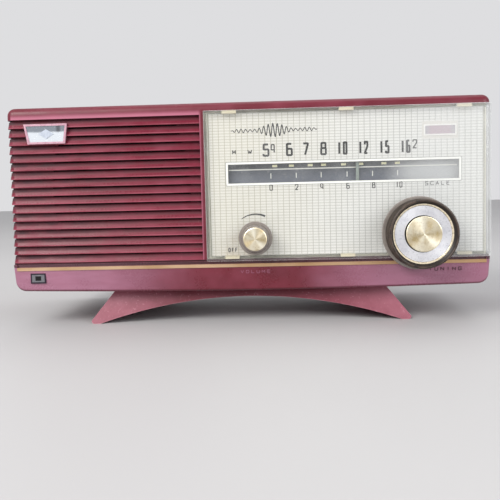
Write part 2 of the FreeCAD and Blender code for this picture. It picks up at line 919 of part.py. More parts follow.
def dial_lens():
    """The clear cover over the whole dial: it stands proud and turns round the right side."""
    side_depth = lens_wrap - 2 * fit_gap
    lip = lens_bottom - lens_lip_drop
    plan = rounded_plan(lens_left, half_width, lens_front, side_depth, [lens_edge, lens_corner, 0, 0], lip)
    outer = prism(plan, lens_top - lip)
    outer = outer.makeFillet(lens_edge, edges_at(outer, lip, True) + edges_at(outer, lens_top, True))
    inner_plan = rounded_plan(lens_left + lens_wall, half_width - lens_wall, lens_front + lens_wall,
                              lens_wrap + 1, [0, lens_corner - lens_wall, 0, 0], lens_bottom + lens_wall)
    cuts = [prism(inner_plan, lens_top - lens_bottom - 2 * lens_wall)]
    cuts.append(block(lens_left - 1, half_width + 1, -lens_lip_gap, lens_wrap, lip - 1, lens_bottom))
    cuts.append(block(lens_left - 1, half_width - lens_wall, panel_front, lens_wrap,
                      lens_bottom - 1, lens_top + 1))
    cuts.append(rod_y(tuning_x, tuning_height, lens_front - 1, 0, shaft_hole))
    cuts.append(rod_y(volume_x, volume_height, lens_front - 1, 0, shaft_hole))
    for x0, x1, z0, z1 in hook_spans():
        cuts.append(block(x0 - fit_gap, x1 + fit_gap, hook_front - fit_gap, panel_front + 1,
                          z0 - 2 * fit_gap, z1 + 2 * fit_gap))
    return outer.cut(cuts)


idler_front = 10.4
idler_rear = 13.6
idler_tab_half = 6.0
rail_post = 1.2
rail_left = idler_x + idler_tab_half + 0.4
rail_right = scale_start + scale_length + carriage_width / 2 + 2.2


def dial_backplate():
    """The grey plate behind the window, with the idler's pin and the pointer rail's two posts."""
    pieces = [block(backplate_left, backplate_right, backplate_front, backplate_rear, backplate_bottom,
                    backplate_top)]
    pieces.append(block(idler_x - idler_tab_half, idler_x + idler_tab_half, backplate_front, backplate_rear,
                        backplate_top - 1, idler_height + pin_radius + 2))
    pieces.append(rod_y(idler_x, idler_height, backplate_front, idler_rear + 1.4, pin_radius))
    pieces.append(rod_y(idler_x, idler_height, idler_rear + 0.4, idler_rear + 1.4, 2 * pin_radius))
    post_rear = rail_depth + rail_radius + fit_gap
    for x in (rail_left, rail_right - rail_post):
        pieces.append(block(x, x + rail_post, backplate_front, post_rear, backplate_top - 1,
                            rail_height + rail_radius + 0.5))
    cuts = [rod_x(rail_left - 1, rail_right + 1, rail_depth, rail_height, rail_radius)]
    for x, height in backplate_corners():
        cuts.append(screw_hole(at(x, backplate_rear, height), along_y * -1, dial_screw_length,
                               small_screw_radius))
    return merged(pieces).cut(cuts)


def pointer_rail():
    """The wire that the pointer's carriage slides on."""
    return rod_x(rail_left, rail_right, rail_depth, rail_height, rail_radius)


def pointer():
    """The needle in the window, its arm over the backplate and its carriage on the rail."""
    half = needle_width / 2
    arm_bottom = backplate_top + 1.2
    arm_top = arm_bottom + 1.1
    carriage_front = backplate_rear + 0.2
    carriage_rear = cord_depth + cord_radius + 0.5
    carriage_half = carriage_width / 2
    pieces = [block(pointer_x - half, pointer_x + half, needle_depth, needle_depth + needle_thickness,
                    window_bottom - 1.2, arm_top)]
    pieces.append(block(pointer_x - half, pointer_x + half, needle_depth, carriage_front + 1,
                        arm_bottom, arm_top))
    pieces.append(block(pointer_x - carriage_half, pointer_x + carriage_half, carriage_front, carriage_rear,
                        arm_bottom, cord_top + 1.6))
    reach = carriage_half + 1
    cuts = [rod_x(pointer_x - reach, pointer_x + reach, rail_depth, rail_height, rail_radius + shaft_play)]
    cuts.append(rod_x(pointer_x - reach, pointer_x + reach, cord_depth, cord_top,
                      cord_radius + 2 * fit_gap))
    return merged(pieces).cut(cuts)


# ---- Dial drive ----

def grooved_outline(front, rear, bore, hub, rim_inner, rim_outer, groove):
    """A cord wheel's (depth, radius) outline: hub, thin web and a rim with a V groove."""
    web = 0.6
    land = 0.7
    foot = 0.5
    return [
        (front, bore), (front, hub), (cord_depth - web, hub), (cord_depth - web, rim_inner),
        (cord_depth - drum_half_width, rim_inner), (cord_depth - drum_half_width, rim_outer),
        (cord_depth - drum_half_width + land, rim_outer), (cord_depth - foot, groove),
        (cord_depth + foot, groove), (cord_depth + drum_half_width - land, rim_outer),
        (cord_depth + drum_half_width, rim_outer), (cord_depth + drum_half_width, rim_inner),
        (cord_depth + web, rim_inner), (cord_depth + web, hub), (rear, hub), (rear, bore),
    ]


drum_front = 9.8
drum_rear = 17.0
drum_window_radius = 6.5
drum_window_from_centre = 17.0


def drive_drum():
    """The large cord wheel on the tuning capacitor's shaft."""
    groove = drum_pitch_radius - cord_radius - cord_gap
    outer = drum_pitch_radius + drum_rim
    outline = grooved_outline(drum_front, drum_rear, shaft_radius, drum_hub_radius, groove - 2.6, outer,
                              groove)
    drum = turned(drum_x, drum_height, outline)
    windows = []
    for number in range(3):
        angle = math.radians(30 + 120 * number)
        windows.append(rod_y(drum_x + drum_window_from_centre * math.cos(angle),
                             drum_height + drum_window_from_centre * math.sin(angle),
                             drum_front, drum_rear, drum_window_radius))
    return drum.cut(windows)


def drum_spring():
    """The cord's tension spring, along a radius behind the drum's web."""
    turns = 12
    start = drum_hub_radius + 2
    end = drum_pitch_radius - 5.5
    pitch = (end - start) / turns
    inner = 0.8
    outer = 1.2
    depth = cord_depth + 0.6 + outer
    outline = [(start, 0)]
    for number in range(turns):
        outline.append((start + pitch * number, inner))
        outline.append((start + pitch * (number + 0.5), outer))
    outline += [(end, inner), (end, 0)]
    points = [at(drum_x - along, depth - radius, drum_height) for along, radius in outline]
    coil = polygon_face(points).revolve(at(drum_x, depth, drum_height), along_x, 360)
    hooks = [block(drum_x - x - 0.5, drum_x - x + 0.5, cord_depth + 0.6, depth,
                   drum_height - 0.5, drum_height + 0.5) for x in (start + 0.5, end - 0.5)]
    return merged([coil] + hooks)


def idler_pulley():
    """The small wheel that turns the cord back at the left of the dial."""
    groove = idler_pitch_radius - cord_radius - cord_gap
    outline = [
        (idler_front, pin_radius + fit_gap), (idler_front, groove + drum_rim), (cord_depth - 0.9,
                                                                                groove + drum_rim),
        (cord_depth - 0.5, groove), (cord_depth + 0.5, groove), (cord_depth + 0.9, groove + drum_rim),
        (idler_rear, groove + drum_rim), (idler_rear, pin_radius + fit_gap),
    ]
    return turned(idler_x, idler_height, outline)


def tangent_angle(first, second):
    """The direction from both wheels' centres to the cord's touching points, on the outer side."""
    across = second[0] - first[0]
    up = second[1] - first[1]
    lean = math.acos((first[2] - second[2]) / math.hypot(across, up))
    return math.atan2(up, across) + lean


def rim_point(wheel, angle):
    """A point on a wheel's cord line."""
    x, height, radius = wheel
    return at(x + radius * math.cos(angle), cord_depth, height + radius * math.sin(angle))


def cord_arc(wheel, start, end):
    """The cord's stretch round a wheel, clockwise from the front."""
    sweep = math.degrees(start - end) % 360
    side = FreeCAD.Vector(math.sin(start), 0, -math.cos(start))
    section = Part.Face(Part.Wire(Part.makeCircle(cord_radius, rim_point(wheel, start), side)))
    return section.revolve(at(wheel[0], cord_depth, wheel[1]), along_y, sweep)


def dial_cord():
    """The drive cord: one loop round idler, drum and shaft, and two more turns on the shaft."""
    wheels = [
        (idler_x, idler_height, idler_pitch_radius),
        (drum_x, drum_height, drum_pitch_radius),
        (tuning_x, tuning_height, spool_pitch_radius),
    ]
    leaving = [tangent_angle(wheels[number], wheels[(number + 1) % 3]) for number in range(3)]
    pieces = []
    for number, wheel in enumerate(wheels):
        following = wheels[(number + 1) % 3]
        start = rim_point(wheel, leaving[number])
        run = rim_point(following, leaving[number]) - start
        pieces.append(Part.makeCylinder(cord_radius, run.Length, start, run))
        pieces.append(cord_arc(wheel, leaving[number - 1], leaving[number]))
    loop = merged(pieces)
    turns = [Part.makeTorus(spool_pitch_radius, cord_radius,
                            at(tuning_x, cord_depth + offset, tuning_height), along_y)
             for offset in (-3 * cord_radius, 3 * cord_radius)]
    return group([loop] + turns)


# ---- Controls ----

shaft_rear = 24.5
bush_front = 16.0
spool_front = 9.4
spool_rear = 14.6
flange = 0.6
knob_back = lens_front - knob_gap
tuning_knob_back = knob_back - skirt_thickness
tuning_floor = -knob_reach + tuning_well_depth
bore_end = 1.5


def tuning_shaft():
    """The tuning spindle: plain at the knob, two flanges for the cord and a ring behind its bush."""
    outline = [
        (tuning_floor + bore_end, 0), (tuning_floor + bore_end, shaft_radius),
        (spool_front, shaft_radius), (spool_front, spool_flange_radius),
        (spool_front + flange, spool_flange_radius), (spool_front + flange, shaft_radius),
        (spool_rear - flange, shaft_radius), (spool_rear - flange, spool_flange_radius),
        (spool_rear, spool_flange_radius), (spool_rear, shaft_radius),
        (shaft_rear, shaft_radius), (shaft_rear, bush_radius), (shaft_rear + 1,
                                                                bush_radius), (shaft_rear + 1, 0),
    ]
    return turned(tuning_x, tuning_height, outline)


def tuning_bush():
    """The threaded bush that the tuning spindle turns in."""
    bore = shaft_radius + shaft_play
    rear = chassis_front + sheet
    outline = [
        (bush_front, bore), (bush_front, bush_radius), (rear, bush_radius), (rear, nut_radius),
        (rear + flange * 2, nut_radius), (rear + flange * 2, bush_radius), (shaft_rear - 0.3, bush_radius),
        (shaft_rear - 0.3, bore),
    ]
    return turned(tuning_x, tuning_height, outline)


def bush_nuts():
    """The two hexagon nuts in front of the chassis."""
    nuts = []
    for x, height in ((tuning_x, tuning_height), (volume_x, volume_height)):
        corners = []
        for number in range(6):
            angle = math.radians(60 * number)
            corners.append((x + nut_radius * math.cos(angle), height + nut_radius * math.sin(angle)))
        nut = plate_xz(corners, chassis_front - nut_thickness, chassis_front)
        nuts.append(nut.cut(rod_y(x, height, bush_front, chassis_front + 1, bush_radius)))
    return group(nuts)


def tuning_knob():
    """The large knob's body: a thick rim round a tapering well."""
    chamfer = 0.6
    outline = [
        (tuning_knob_back, shaft_radius),
        (tuning_knob_back, tuning_knob_radius - chamfer), (tuning_knob_back - chamfer, tuning_knob_radius),
        (-knob_reach + chamfer, tuning_knob_radius), (-knob_reach, tuning_knob_radius - chamfer),
        (-knob_reach, tuning_rim_radius), (tuning_floor, tuning_well_radius),
        (tuning_floor, 0), (tuning_floor + bore_end, 0), (tuning_floor + bore_end, shaft_radius),
    ]
    return turned(tuning_x, tuning_height, outline)


def tuning_knob_skirt():
    """The smoky disc behind the large knob."""
    edge = 0.5
    outline = [
        (knob_back, shaft_radius), (knob_back, skirt_radius - edge), (knob_back - edge, skirt_radius),
        (tuning_knob_back + edge, skirt_radius), (tuning_knob_back, skirt_radius - edge),
        (tuning_knob_back, shaft_radius),
    ]
    return turned(tuning_x, tuning_height, outline)


def tuning_knob_bezel():
    """The narrow ring at the foot of the well's wall."""
    height = 1.1
    outline = [
        (tuning_floor, tuning_bezel_inner), (tuning_floor - height, tuning_bezel_inner + 0.4),
        (tuning_floor - height, tuning_well_radius), (tuning_floor, tuning_well_radius),
    ]
    return turned(tuning_x, tuning_height, outline)


def tuning_knob_ring():
    """The flat silver ring round the cap."""
    outline = [
        (tuning_floor, tuning_ring_inner), (tuning_floor - 0.6, tuning_ring_inner),
        (tuning_floor - 0.6, tuning_bezel_inner), (tuning_floor, tuning_bezel_inner),
    ]
    return turned(tuning_x, tuning_height, outline)


def cap(x, height, back, radius, rise):
    """A spun metal cap: straight wall, rounded shoulder and a faintly domed face."""
    front = back - rise
    shoulder = 0.5
    outline = [
        (back, 0), (back, radius), (front + shoulder, radius), (front + shoulder * 0.3,
                                                                radius - shoulder * 0.3),
        (front, radius - shoulder), (front - 0.2, radius / 2), (front - 0.25, 0),
    ]
    return turned(x, height, outline)


def tuning_knob_cap():
    """The brass cap in the middle of the large knob."""
    return cap(tuning_x, tuning_height, tuning_floor, tuning_cap_radius, tuning_cap_height)


volume_knob_back = knob_back
volume_knob_face = volume_knob_back - volume_flange_thickness - volume_knob_length


def volume_knob():
    """The small knob: a round flange and a tapering grip."""
    grip_back = volume_knob_back - volume_flange_thickness
    outline = [
        (volume_knob_back, shaft_radius), (volume_knob_back, volume_flange_radius - 0.4),
        (volume_knob_back - 0.4, volume_flange_radius), (grip_back + 0.4, volume_flange_radius),
        (grip_back, volume_flange_radius - 0.4), (grip_back, volume_knob_radius),
        (volume_knob_face + 0.4, volume_rim_radius), (volume_knob_face, volume_rim_radius - 0.4),
        (volume_knob_face, 0), (volume_knob_face + bore_end, 0), (volume_knob_face + bore_end,
                                                                  shaft_radius),
    ]
    return turned(volume_x, volume_height, outline)


def volume_knob_cap():
    """The brass cap on the small knob."""
    return cap(volume_x, volume_height, volume_knob_face, volume_cap_radius, volume_cap_height)


def volume_shaft():
    """The volume control's spindle."""
    return rod_y(volume_x, volume_height, volume_knob_face + bore_end, shaft_rear, shaft_radius)


def volume_control():
    """The volume control's can with its switch, and the bush its spindle turns in."""
    back = chassis_front + sheet
    bore = shaft_radius + shaft_play
    can = back + volume_body_length * 0.6
    rear = back + volume_body_length
    outline = [
        (bush_front, bore), (bush_front, bush_radius), (back, bush_radius), (back, volume_body_radius),
        (can, volume_body_radius), (can, volume_body_radius - 1), (rear, volume_body_radius - 1), (rear, 0),
        (shaft_rear + 0.5, 0), (shaft_rear + 0.5, bore),
    ]
    body = turned(volume_x, volume_height, outline)
    low = volume_height - volume_body_radius
    tags = [block(volume_x + step - 1, volume_x + step + 1, back + 3, back + 4, low - 4, low + 1)
            for step in (-4, 0, 4)]
    return merged([body] + tags)


# ---- Chassis ----

tube_depth = chassis_rear - tube_rear_margin
tube_places = [chassis_left + tube_first_margin + number * tube_pitch for number in range(tube_count)]
flange_top = chassis_foot + sheet


def chassis():
    """The bent steel chassis: a deck, two aprons and two foot flanges."""
    box = block(chassis_left, chassis_right, chassis_front, chassis_rear, chassis_foot, deck_top)
    inside = block(chassis_left - 1, chassis_right + 1, chassis_front + sheet, chassis_rear - sheet,
                   flange_top, deck_top - sheet)
    gap = block(chassis_left - 1, chassis_right + 1, chassis_front + chassis_flange,
                chassis_rear - chassis_flange,
                chassis_foot - 1, flange_top)
    cuts = [inside, gap]
    cuts.append(rod_y(volume_x, volume_height, bush_front, chassis_front + 2, bush_radius))
    cuts.append(rod_y(tuning_x, tuning_height, bush_front, chassis_front + 2, bush_radius))
    for x in tube_places:
        cuts.append(rod_z(x, tube_depth, deck_top - 3, deck_top + 1, socket_radius))
    for x, depth in chassis_places:
        cuts.append(screw_hole(at(x, depth, flange_top), along_z * -1, chassis_screw_length))
    return box.cut(cuts)


def chassis_screws():
    """Four screws through the foot flanges into the tray's posts."""
    return group([screw(at(x, depth, flange_top), along_z * -1, chassis_screw_length) for x,
                  depth in chassis_places])


def turned_z(x, depth, height, outline):
    """A solid turned about the Z axis, from (radius, rise) corners."""
    points = [at(x + radius, depth, height + rise) for radius, rise in outline]
    return polygon_face(points).revolve(at(x, depth, height), along_z, 360)


socket_rise = 1.8
socket_drop = 8.0


def tube_sockets():
    """Five round sockets in the deck."""
    outline = [(0, -socket_drop), (socket_radius, -socket_drop), (socket_radius, 0),
               (socket_flange_radius, 0),
               (socket_flange_radius, socket_rise), (0, socket_rise)]
    return group([turned_z(x, tube_depth, deck_top, outline) for x in tube_places])


def tubes():
    """Five glass valves with domed tops and drawn tips."""
    outline = [
        (0, 0), (tube_radius - 1, 0), (tube_radius, 1.5), (tube_radius, tube_height - 10),
        (tube_radius * 0.86, tube_height - 6.5), (tube_radius * 0.5, tube_height - 3.6),
        (1.6, tube_height - 2.8), (1.0, tube_height - 0.6), (0, tube_height),
    ]
    return group([turned_z(x, tube_depth, deck_top + socket_rise, outline) for x in tube_places])


def capacitor_frame():
    """The tuning capacitor's base and end plates, and the lamp's bracket on the front one."""
    half = capacitor_half_width
    end = 1.6
    left = drum_x - half
    right = drum_x + half
    pieces = [block(left, right, capacitor_front, capacitor_rear, deck_top, deck_top + sheet)]
    for front in (capacitor_front, capacitor_rear - end):
        pieces.append(block(left, right, front, front + end, deck_top, capacitor_top))
    bracket_half = lamp_holder_radius + 2
    pieces.append(block(indicator_centre - bracket_half, indicator_centre + bracket_half, capacitor_front,
                        capacitor_front + end, capacitor_top - 1, indicator_height_centre + bracket_half))
    cuts = [rod_y(drum_x, drum_height, capacitor_front - 1, capacitor_rear + 1, shaft_radius + shaft_play)]
    cuts.append(rod_y(indicator_centre, indicator_height_centre, capacitor_front - 1, capacitor_front + 3,
                      lamp_holder_radius))
    return merged(pieces).cut(cuts)


def capacitor_plate_fronts():
    """The depth of each moving plate's front face."""
    return [capacitor_front + 3 + number * plate_pitch for number in range(plate_count)]


def capacitor_rotor():
    """The moving half-round plates and their spindle, which carries the drum."""
    turned_by = 180 * pointer_rest / scale_length
    plates = []
    for front in capacitor_plate_fronts():
        disc = rod_y(drum_x, drum_height, front, front + plate_thickness, rotor_radius)
        half = block(drum_x - rotor_radius - 1, drum_x, front - 1, front + 2,
                     drum_height - rotor_radius - 1,
                     drum_height + rotor_radius + 1)
        plate = disc.common(half)
        plate.rotate(at(drum_x, 0, drum_height), along_y, turned_by)
        plates.append(plate)
    spindle = rod_y(drum_x, drum_height, drum_front, capacitor_rear + 1, shaft_radius)
    return merged([spindle] + plates)


def capacitor_stator():
    """The fixed plates between the moving ones, on two rods."""
    reach = rotor_radius + 1.8
    rod_offset = rotor_radius - 1
    plates = []
    for front in capacitor_plate_fronts()[:-1]:
        middle = front + (plate_pitch + plate_thickness) / 2
        plate = block(drum_x - reach, drum_x - 0.8, middle - plate_thickness / 2,
                      middle + plate_thickness / 2,
                      drum_height - rotor_radius, drum_height + rotor_radius)
        plates.append(plate.cut(rod_y(drum_x, drum_height, middle - 2, middle + 2, shaft_radius + 1.6)))
    rods = [rod_y(drum_x - rotor_radius, drum_height + side * rod_offset, capacitor_front + 1.6,
                  capacitor_rear - 1.6, 1.2) for side in (-1, 1)]
    return merged(rods + plates)


def can(x, depth, width, height):
    """A square metal can with rounded upright corners, standing on the deck."""
    half = width / 2
    plan = rounded_plan(x - half, x + half, depth - half, depth + half, [2, 2, 2, 2], deck_top)
    return prism(plan, height)


middle_row = capacitor_front + 26.0
transformer_left = chassis_left + 6.0


def if_transformers():
    """The two screened coil cans."""
    return group([can(chassis_left + offset, middle_row, 17, 40) for offset in (88, 130)])


def output_transformer():
    """The output transformer: an iron core round a taped winding."""
    core = block(transformer_left, transformer_left + 32, capacitor_front + 4, capacitor_front + 18,
                 deck_top, deck_top + 27)
    winding = block(transformer_left + 7, transformer_left + 25, capacitor_front, capacitor_front + 22,
                    deck_top + 6, deck_top + 21)
    return merged([core, winding])


def filter_capacitor():
    """The tall filter capacitor can."""
    outline = [(0, 0), (12.5, 0), (12.5, 54), (11.5, 55), (10.5, 54), (0, 54)]
    return turned_z(chassis_left + 58, middle_row - 4, deck_top, outline)


ferrite_left = chassis_left + 38.0
bracket_offsets = (8.0, ferrite_length - 14.0)
bracket_thickness = 6.0


def ferrite_antenna():
    """The ferrite rod with its coil."""
    rod = rod_x(ferrite_left, ferrite_left + ferrite_length, ferrite_depth, ferrite_height, ferrite_radius)
    coil = rod_x(ferrite_left + 34, ferrite_left + 66, ferrite_depth, ferrite_height, ferrite_radius + 1.5)
    return rod.fuse(coil)


def antenna_brackets():
    """Two posts on the deck that hold the ferrite rod."""
    posts = []
    for offset in bracket_offsets:
        x = ferrite_left + offset
        post = block(x, x + bracket_thickness, ferrite_depth - 3, ferrite_depth + 3, deck_top,
                     ferrite_height)
        ring = rod_x(x, x + bracket_thickness, ferrite_depth, ferrite_height, ferrite_radius + 2)
        hole = rod_x(x - 1, x + bracket_thickness + 1, ferrite_depth, ferrite_height, ferrite_radius)
        posts.append(post.fuse(ring).cut(hole))
    return group(posts)


def pilot_lamp():
    """The lamp behind the indicator, in its holder."""
    outline = [
        (8.0, 0), (8.6, lamp_radius * 0.6), (10.4, lamp_radius), (16, lamp_radius), (20, lamp_radius * 0.8),
        (20, lamp_holder_radius), (capacitor_front + 9, lamp_holder_radius), (capacitor_front + 9, 0),
    ]
    return turned(indicator_centre, indicator_height_centre, outline)


def wiring_board():
    """The board under the deck with its small parts on both faces."""
    front = chassis_front + 50
    rear = front + 1.6
    top = deck_top - sheet
    left = chassis_left + 20
    right = chassis_right - 40
    pieces = [block(left, right, front, rear, top - 29, top)]
    capacitors = 4
    spacing = (right - left) / capacitors
    for number in range(capacitors):
        x = left + number * spacing + 4
        pieces.append(rod_x(x, x + 22, front - 3.5, top - 20, 4))
    resistors = 5
    spacing = (right - left) / resistors
    for number in range(resistors):
        x = left + number * spacing + 5
        pieces.append(rod_x(x, x + 9, rear + 1.8, top - 21, 2))
    return merged(pieces)


# ---- Back ----

terminal_x = 60.0
terminal_height = 35.0


def rear_cover():
    """The pressed board at the back, with two rows of vents."""
    left = -inner_half + cover_gap
    board = block(left, -left, cover_front, cover_rear, tray_height + cover_gap,
                  cabinet_height - wall - cover_gap)
    cuts = []
    span = (vent_count - 1) * vent_pitch
    for centre in (-inner_half / 2, inner_half / 2):
        for number in range(vent_count):
            x = centre - span / 2 + number * vent_pitch
            cuts.append(block(x - vent_width / 2, x + vent_width / 2, cover_front - 1, cover_rear + 1,
                              dial_top - 18 - vent_height, dial_top - 18))
    for x, height in cover_screw_places():
        cuts.append(screw_hole(at(x, cover_rear, height), along_y * -1, cover_screw_length))
    return board.cut(cuts)


def rear_cover_screws():
    """Four screws through the rear cover, with flat heads that stay inside the cabinet's depth."""
    return group([rear_screw(x, height) for x, height in cover_screw_places()])


def rear_screw(x, height):
    """A screw with a thin head."""
    shank = rod_y(x, height, cover_rear - cover_screw_length, cover_rear, screw_radius)
    head = rod_y(x, height, cover_rear, cabinet_depth - fit_gap, screw_head_radius)
    return shank.fuse(head)


def antenna_terminal():
    """The outside antenna's terminal strip on the rear cover."""
    strip = block(terminal_x - 14, terminal_x + 14, cover_rear, cover_rear + 0.6, terminal_height - 5,
                  terminal_height + 5)
    heads = [rod_y(terminal_x + side * 8, terminal_height, cover_rear, cabinet_depth - fit_gap,
                   2.6) for side in (-1, 1)]
    return merged([strip] + heads)


def cord_grommet():
    """The rubber grommet in the tray's rear wall, where the mains lead would come out."""
    lip = tray_rear_gap
    inside = tray_rear - wall
    outline = [
        (inside - lip, cord_bore), (inside - lip, grommet_flange), (inside, grommet_flange),
        (inside, grommet_radius), (tray_rear, grommet_radius), (tray_rear, grommet_flange),
        (cabinet_depth, grommet_flange - 0.6), (cabinet_depth, cord_bore),
    ]
    return turned(grommet_from_centre, grommet_height, outline)


# ---- Stand ----

stand_slope = (stand_tip_half - stand_top_half) / (stand_height - stand_tip_rise)


def stand_outline():
    """The stand's (x, height) outline from the front: leaning ends, round tips and a bow below."""
    foot = -stand_height
    tip = foot + stand_tip_rise
    share = math.sqrt(0.5)
    middle_x = stand_foot_outer + (stand_tip_half - stand_foot_outer) * share
    middle_z = tip - stand_tip_rise * share
    right = [(stand_top_half, 0), (stand_tip_half, tip), (middle_x, middle_z),
             (stand_foot_outer, foot), (stand_foot_inner, foot)]
    edges = []
    for side in (1, -1):
        top, end, middle, outer, inner = [at(side * x, 0, height) for x, height in right]
        edges.append(Part.LineSegment(top, end).toShape())
        edges.append(Part.Arc(end, middle, outer).toShape())
        edges.append(Part.LineSegment(outer, inner).toShape())
    bow = Part.Arc(at(stand_foot_inner, 0, foot), at(0, 0, -stand_bow), at(-stand_foot_inner, 0, foot))
    edges.append(bow.toShape())
    edges.append(Part.LineSegment(at(-stand_top_half, 0, 0), at(stand_top_half, 0, 0)).toShape())
    return Part.Wire(Part.__sortEdges__(edges))


def stand_side(inset, top, bottom):
    """The stand's shape from the side: wider at the foot than at the top."""
    lean = (stand_front_top - stand_front_foot) / stand_height
    front_top = stand_front_top + lean * top + inset
    front_bottom = stand_front_top + lean * bottom + inset
    rear_top = cabinet_depth - wall - front_top
    rear_bottom = cabinet_depth - wall - front_bottom
    corners = [(front_top, top), (rear_top, top), (rear_bottom, bottom), (front_bottom, bottom)]
    return plate_yz(corners, -half_width, half_width)


def stand_hollow():
    """The space inside the stand, down to the pads that close its two tips."""
    bottom = wall - stand_height
    edge = wall * math.hypot(1, stand_slope)
    half_top = stand_top_half - stand_slope * stand_seat - edge
    half_bottom = stand_top_half - stand_slope * bottom - edge
    corners = [(-half_top, stand_seat), (half_top, stand_seat), (half_bottom, bottom),
               (-half_bottom, bottom)]
    return plate_xz(corners, 0, cabinet_depth).common(stand_side(wall, stand_seat, bottom))


def stand():
    """The bowed stand: an open moulding with a front bow, a rear bow and two legs."""
    whole = FreeCAD.Vector(0, cabinet_depth, 0)
    solid = Part.Face(stand_outline()).extrude(whole).common(stand_side(0, 0, -stand_height))
    holes = [screw_hole(at(x, depth, stand_seat), along_z, stand_screw_length) for x, depth in stand_places]
    return solid.cut([stand_hollow(), tray_outside()] + holes)


def stand_screws():
    """Four screws from inside the stand into the tray's bosses."""
    return group([screw(at(x, depth, stand_seat), along_z, stand_screw_length) for x,
                  depth in stand_places])


nodes = [
    base_tray, cabinet_shell, case_screws, gold_trim, corner_plate, louvre_grille, badge_frame,
    badge_mirror, badge_emblem, speaker_cloth, speaker_baffle, baffle_screws, speaker_frame,
    speaker_surround, speaker_magnet, speaker_cone, dial_panel, indicator_frame, indicator_window,
    dial_screws, dial_lens, dial_backplate, pointer_rail, pointer, drive_drum, drum_spring,
    idler_pulley, dial_cord, tuning_shaft, tuning_bush, bush_nuts, tuning_knob, tuning_knob_skirt,
    tuning_knob_bezel, tuning_knob_ring, tuning_knob_cap, volume_knob, volume_knob_cap,
    volume_shaft, volume_control, chassis, chassis_screws, tube_sockets, tubes, capacitor_frame,
    capacitor_rotor, capacitor_stator, if_transformers, output_transformer, filter_capacitor,
    ferrite_antenna, antenna_brackets, pilot_lamp, wiring_board, rear_cover, rear_cover_screws,
    antenna_terminal, cord_grommet, stand, stand_screws,
]

os.makedirs("parts", exist_ok=True)
for make in nodes:
    shape = make()
    shape.exportStep(os.path.join("parts", make.__name__ + ".step"))
    print(make.__name__, len(shape.Solids), shape.isValid(), round(shape.Volume, 1))
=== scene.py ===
import math

import bpy
from mathutils import Matrix, Vector


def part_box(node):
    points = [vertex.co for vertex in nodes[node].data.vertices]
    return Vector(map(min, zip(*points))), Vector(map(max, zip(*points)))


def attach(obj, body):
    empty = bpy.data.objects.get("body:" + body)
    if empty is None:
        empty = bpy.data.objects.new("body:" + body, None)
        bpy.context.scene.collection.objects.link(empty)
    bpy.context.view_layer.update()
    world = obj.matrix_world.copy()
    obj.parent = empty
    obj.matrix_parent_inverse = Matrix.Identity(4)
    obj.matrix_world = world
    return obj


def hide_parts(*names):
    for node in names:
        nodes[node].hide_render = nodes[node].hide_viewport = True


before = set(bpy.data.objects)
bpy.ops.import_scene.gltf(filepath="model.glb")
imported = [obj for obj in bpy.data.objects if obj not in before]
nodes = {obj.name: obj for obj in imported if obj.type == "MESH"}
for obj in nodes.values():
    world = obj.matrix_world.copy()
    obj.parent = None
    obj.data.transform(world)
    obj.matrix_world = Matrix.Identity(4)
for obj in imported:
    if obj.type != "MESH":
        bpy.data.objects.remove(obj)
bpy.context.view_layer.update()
mm = 0.001

# Measures of the radio that its boxes don't give
cabinet_height = 142.0 * mm
tray_height = 20.2 * mm
tray_face_top = 0.6 * mm
tray_face_lean = 1.6 * mm
window_side = 6.2 * mm
window_sill = 2.7 * mm
window_height = 14.6 * mm
scale_line = 10.4 * mm
slat_count = 17
cell_width = 4.44 * mm
cell_height = 2.18 * mm

# Printing and moulded letters
ink_proud = 0.06 * mm
letter_proud = 0.2 * mm


def centre(node):
    """The middle of a CAD node's box."""
    low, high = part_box(node)
    return (low + high) / 2


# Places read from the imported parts
front_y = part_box("cabinet_shell")[0].y
underside_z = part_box("cabinet_shell")[1].z - cabinet_height
panel_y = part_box("indicator_frame")[1].y
backplate_low, backplate_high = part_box("dial_backplate")
panel_low, panel_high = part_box("dial_panel")
grille_low, grille_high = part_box("louvre_grille")
knob_low, knob_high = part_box("tuning_knob")
tuning_axis = centre("tuning_knob")
volume_axis = centre("volume_knob")
knob_radius = (knob_high.x - knob_low.x) / 2
window_low = backplate_low + Vector((window_side, 0, window_sill))
window_width = backplate_high.x - backplate_low.x - 2 * window_side


# ---- Node building ----

def srgb(red, green, blue):
    """A screen colour, 0 to 255, as the linear values that a shader takes."""
    def linear(value):
        share = value / 255
        return share / 12.92 if share <= 0.04045 else ((share + 0.055) / 1.055) ** 2.4
    return (linear(red), linear(green), linear(blue), 1.0)


def scaled(colour, factor):
    """A lighter or darker copy of a colour."""
    return tuple(min(1, part * factor) for part in colour[:3]) + (1,)


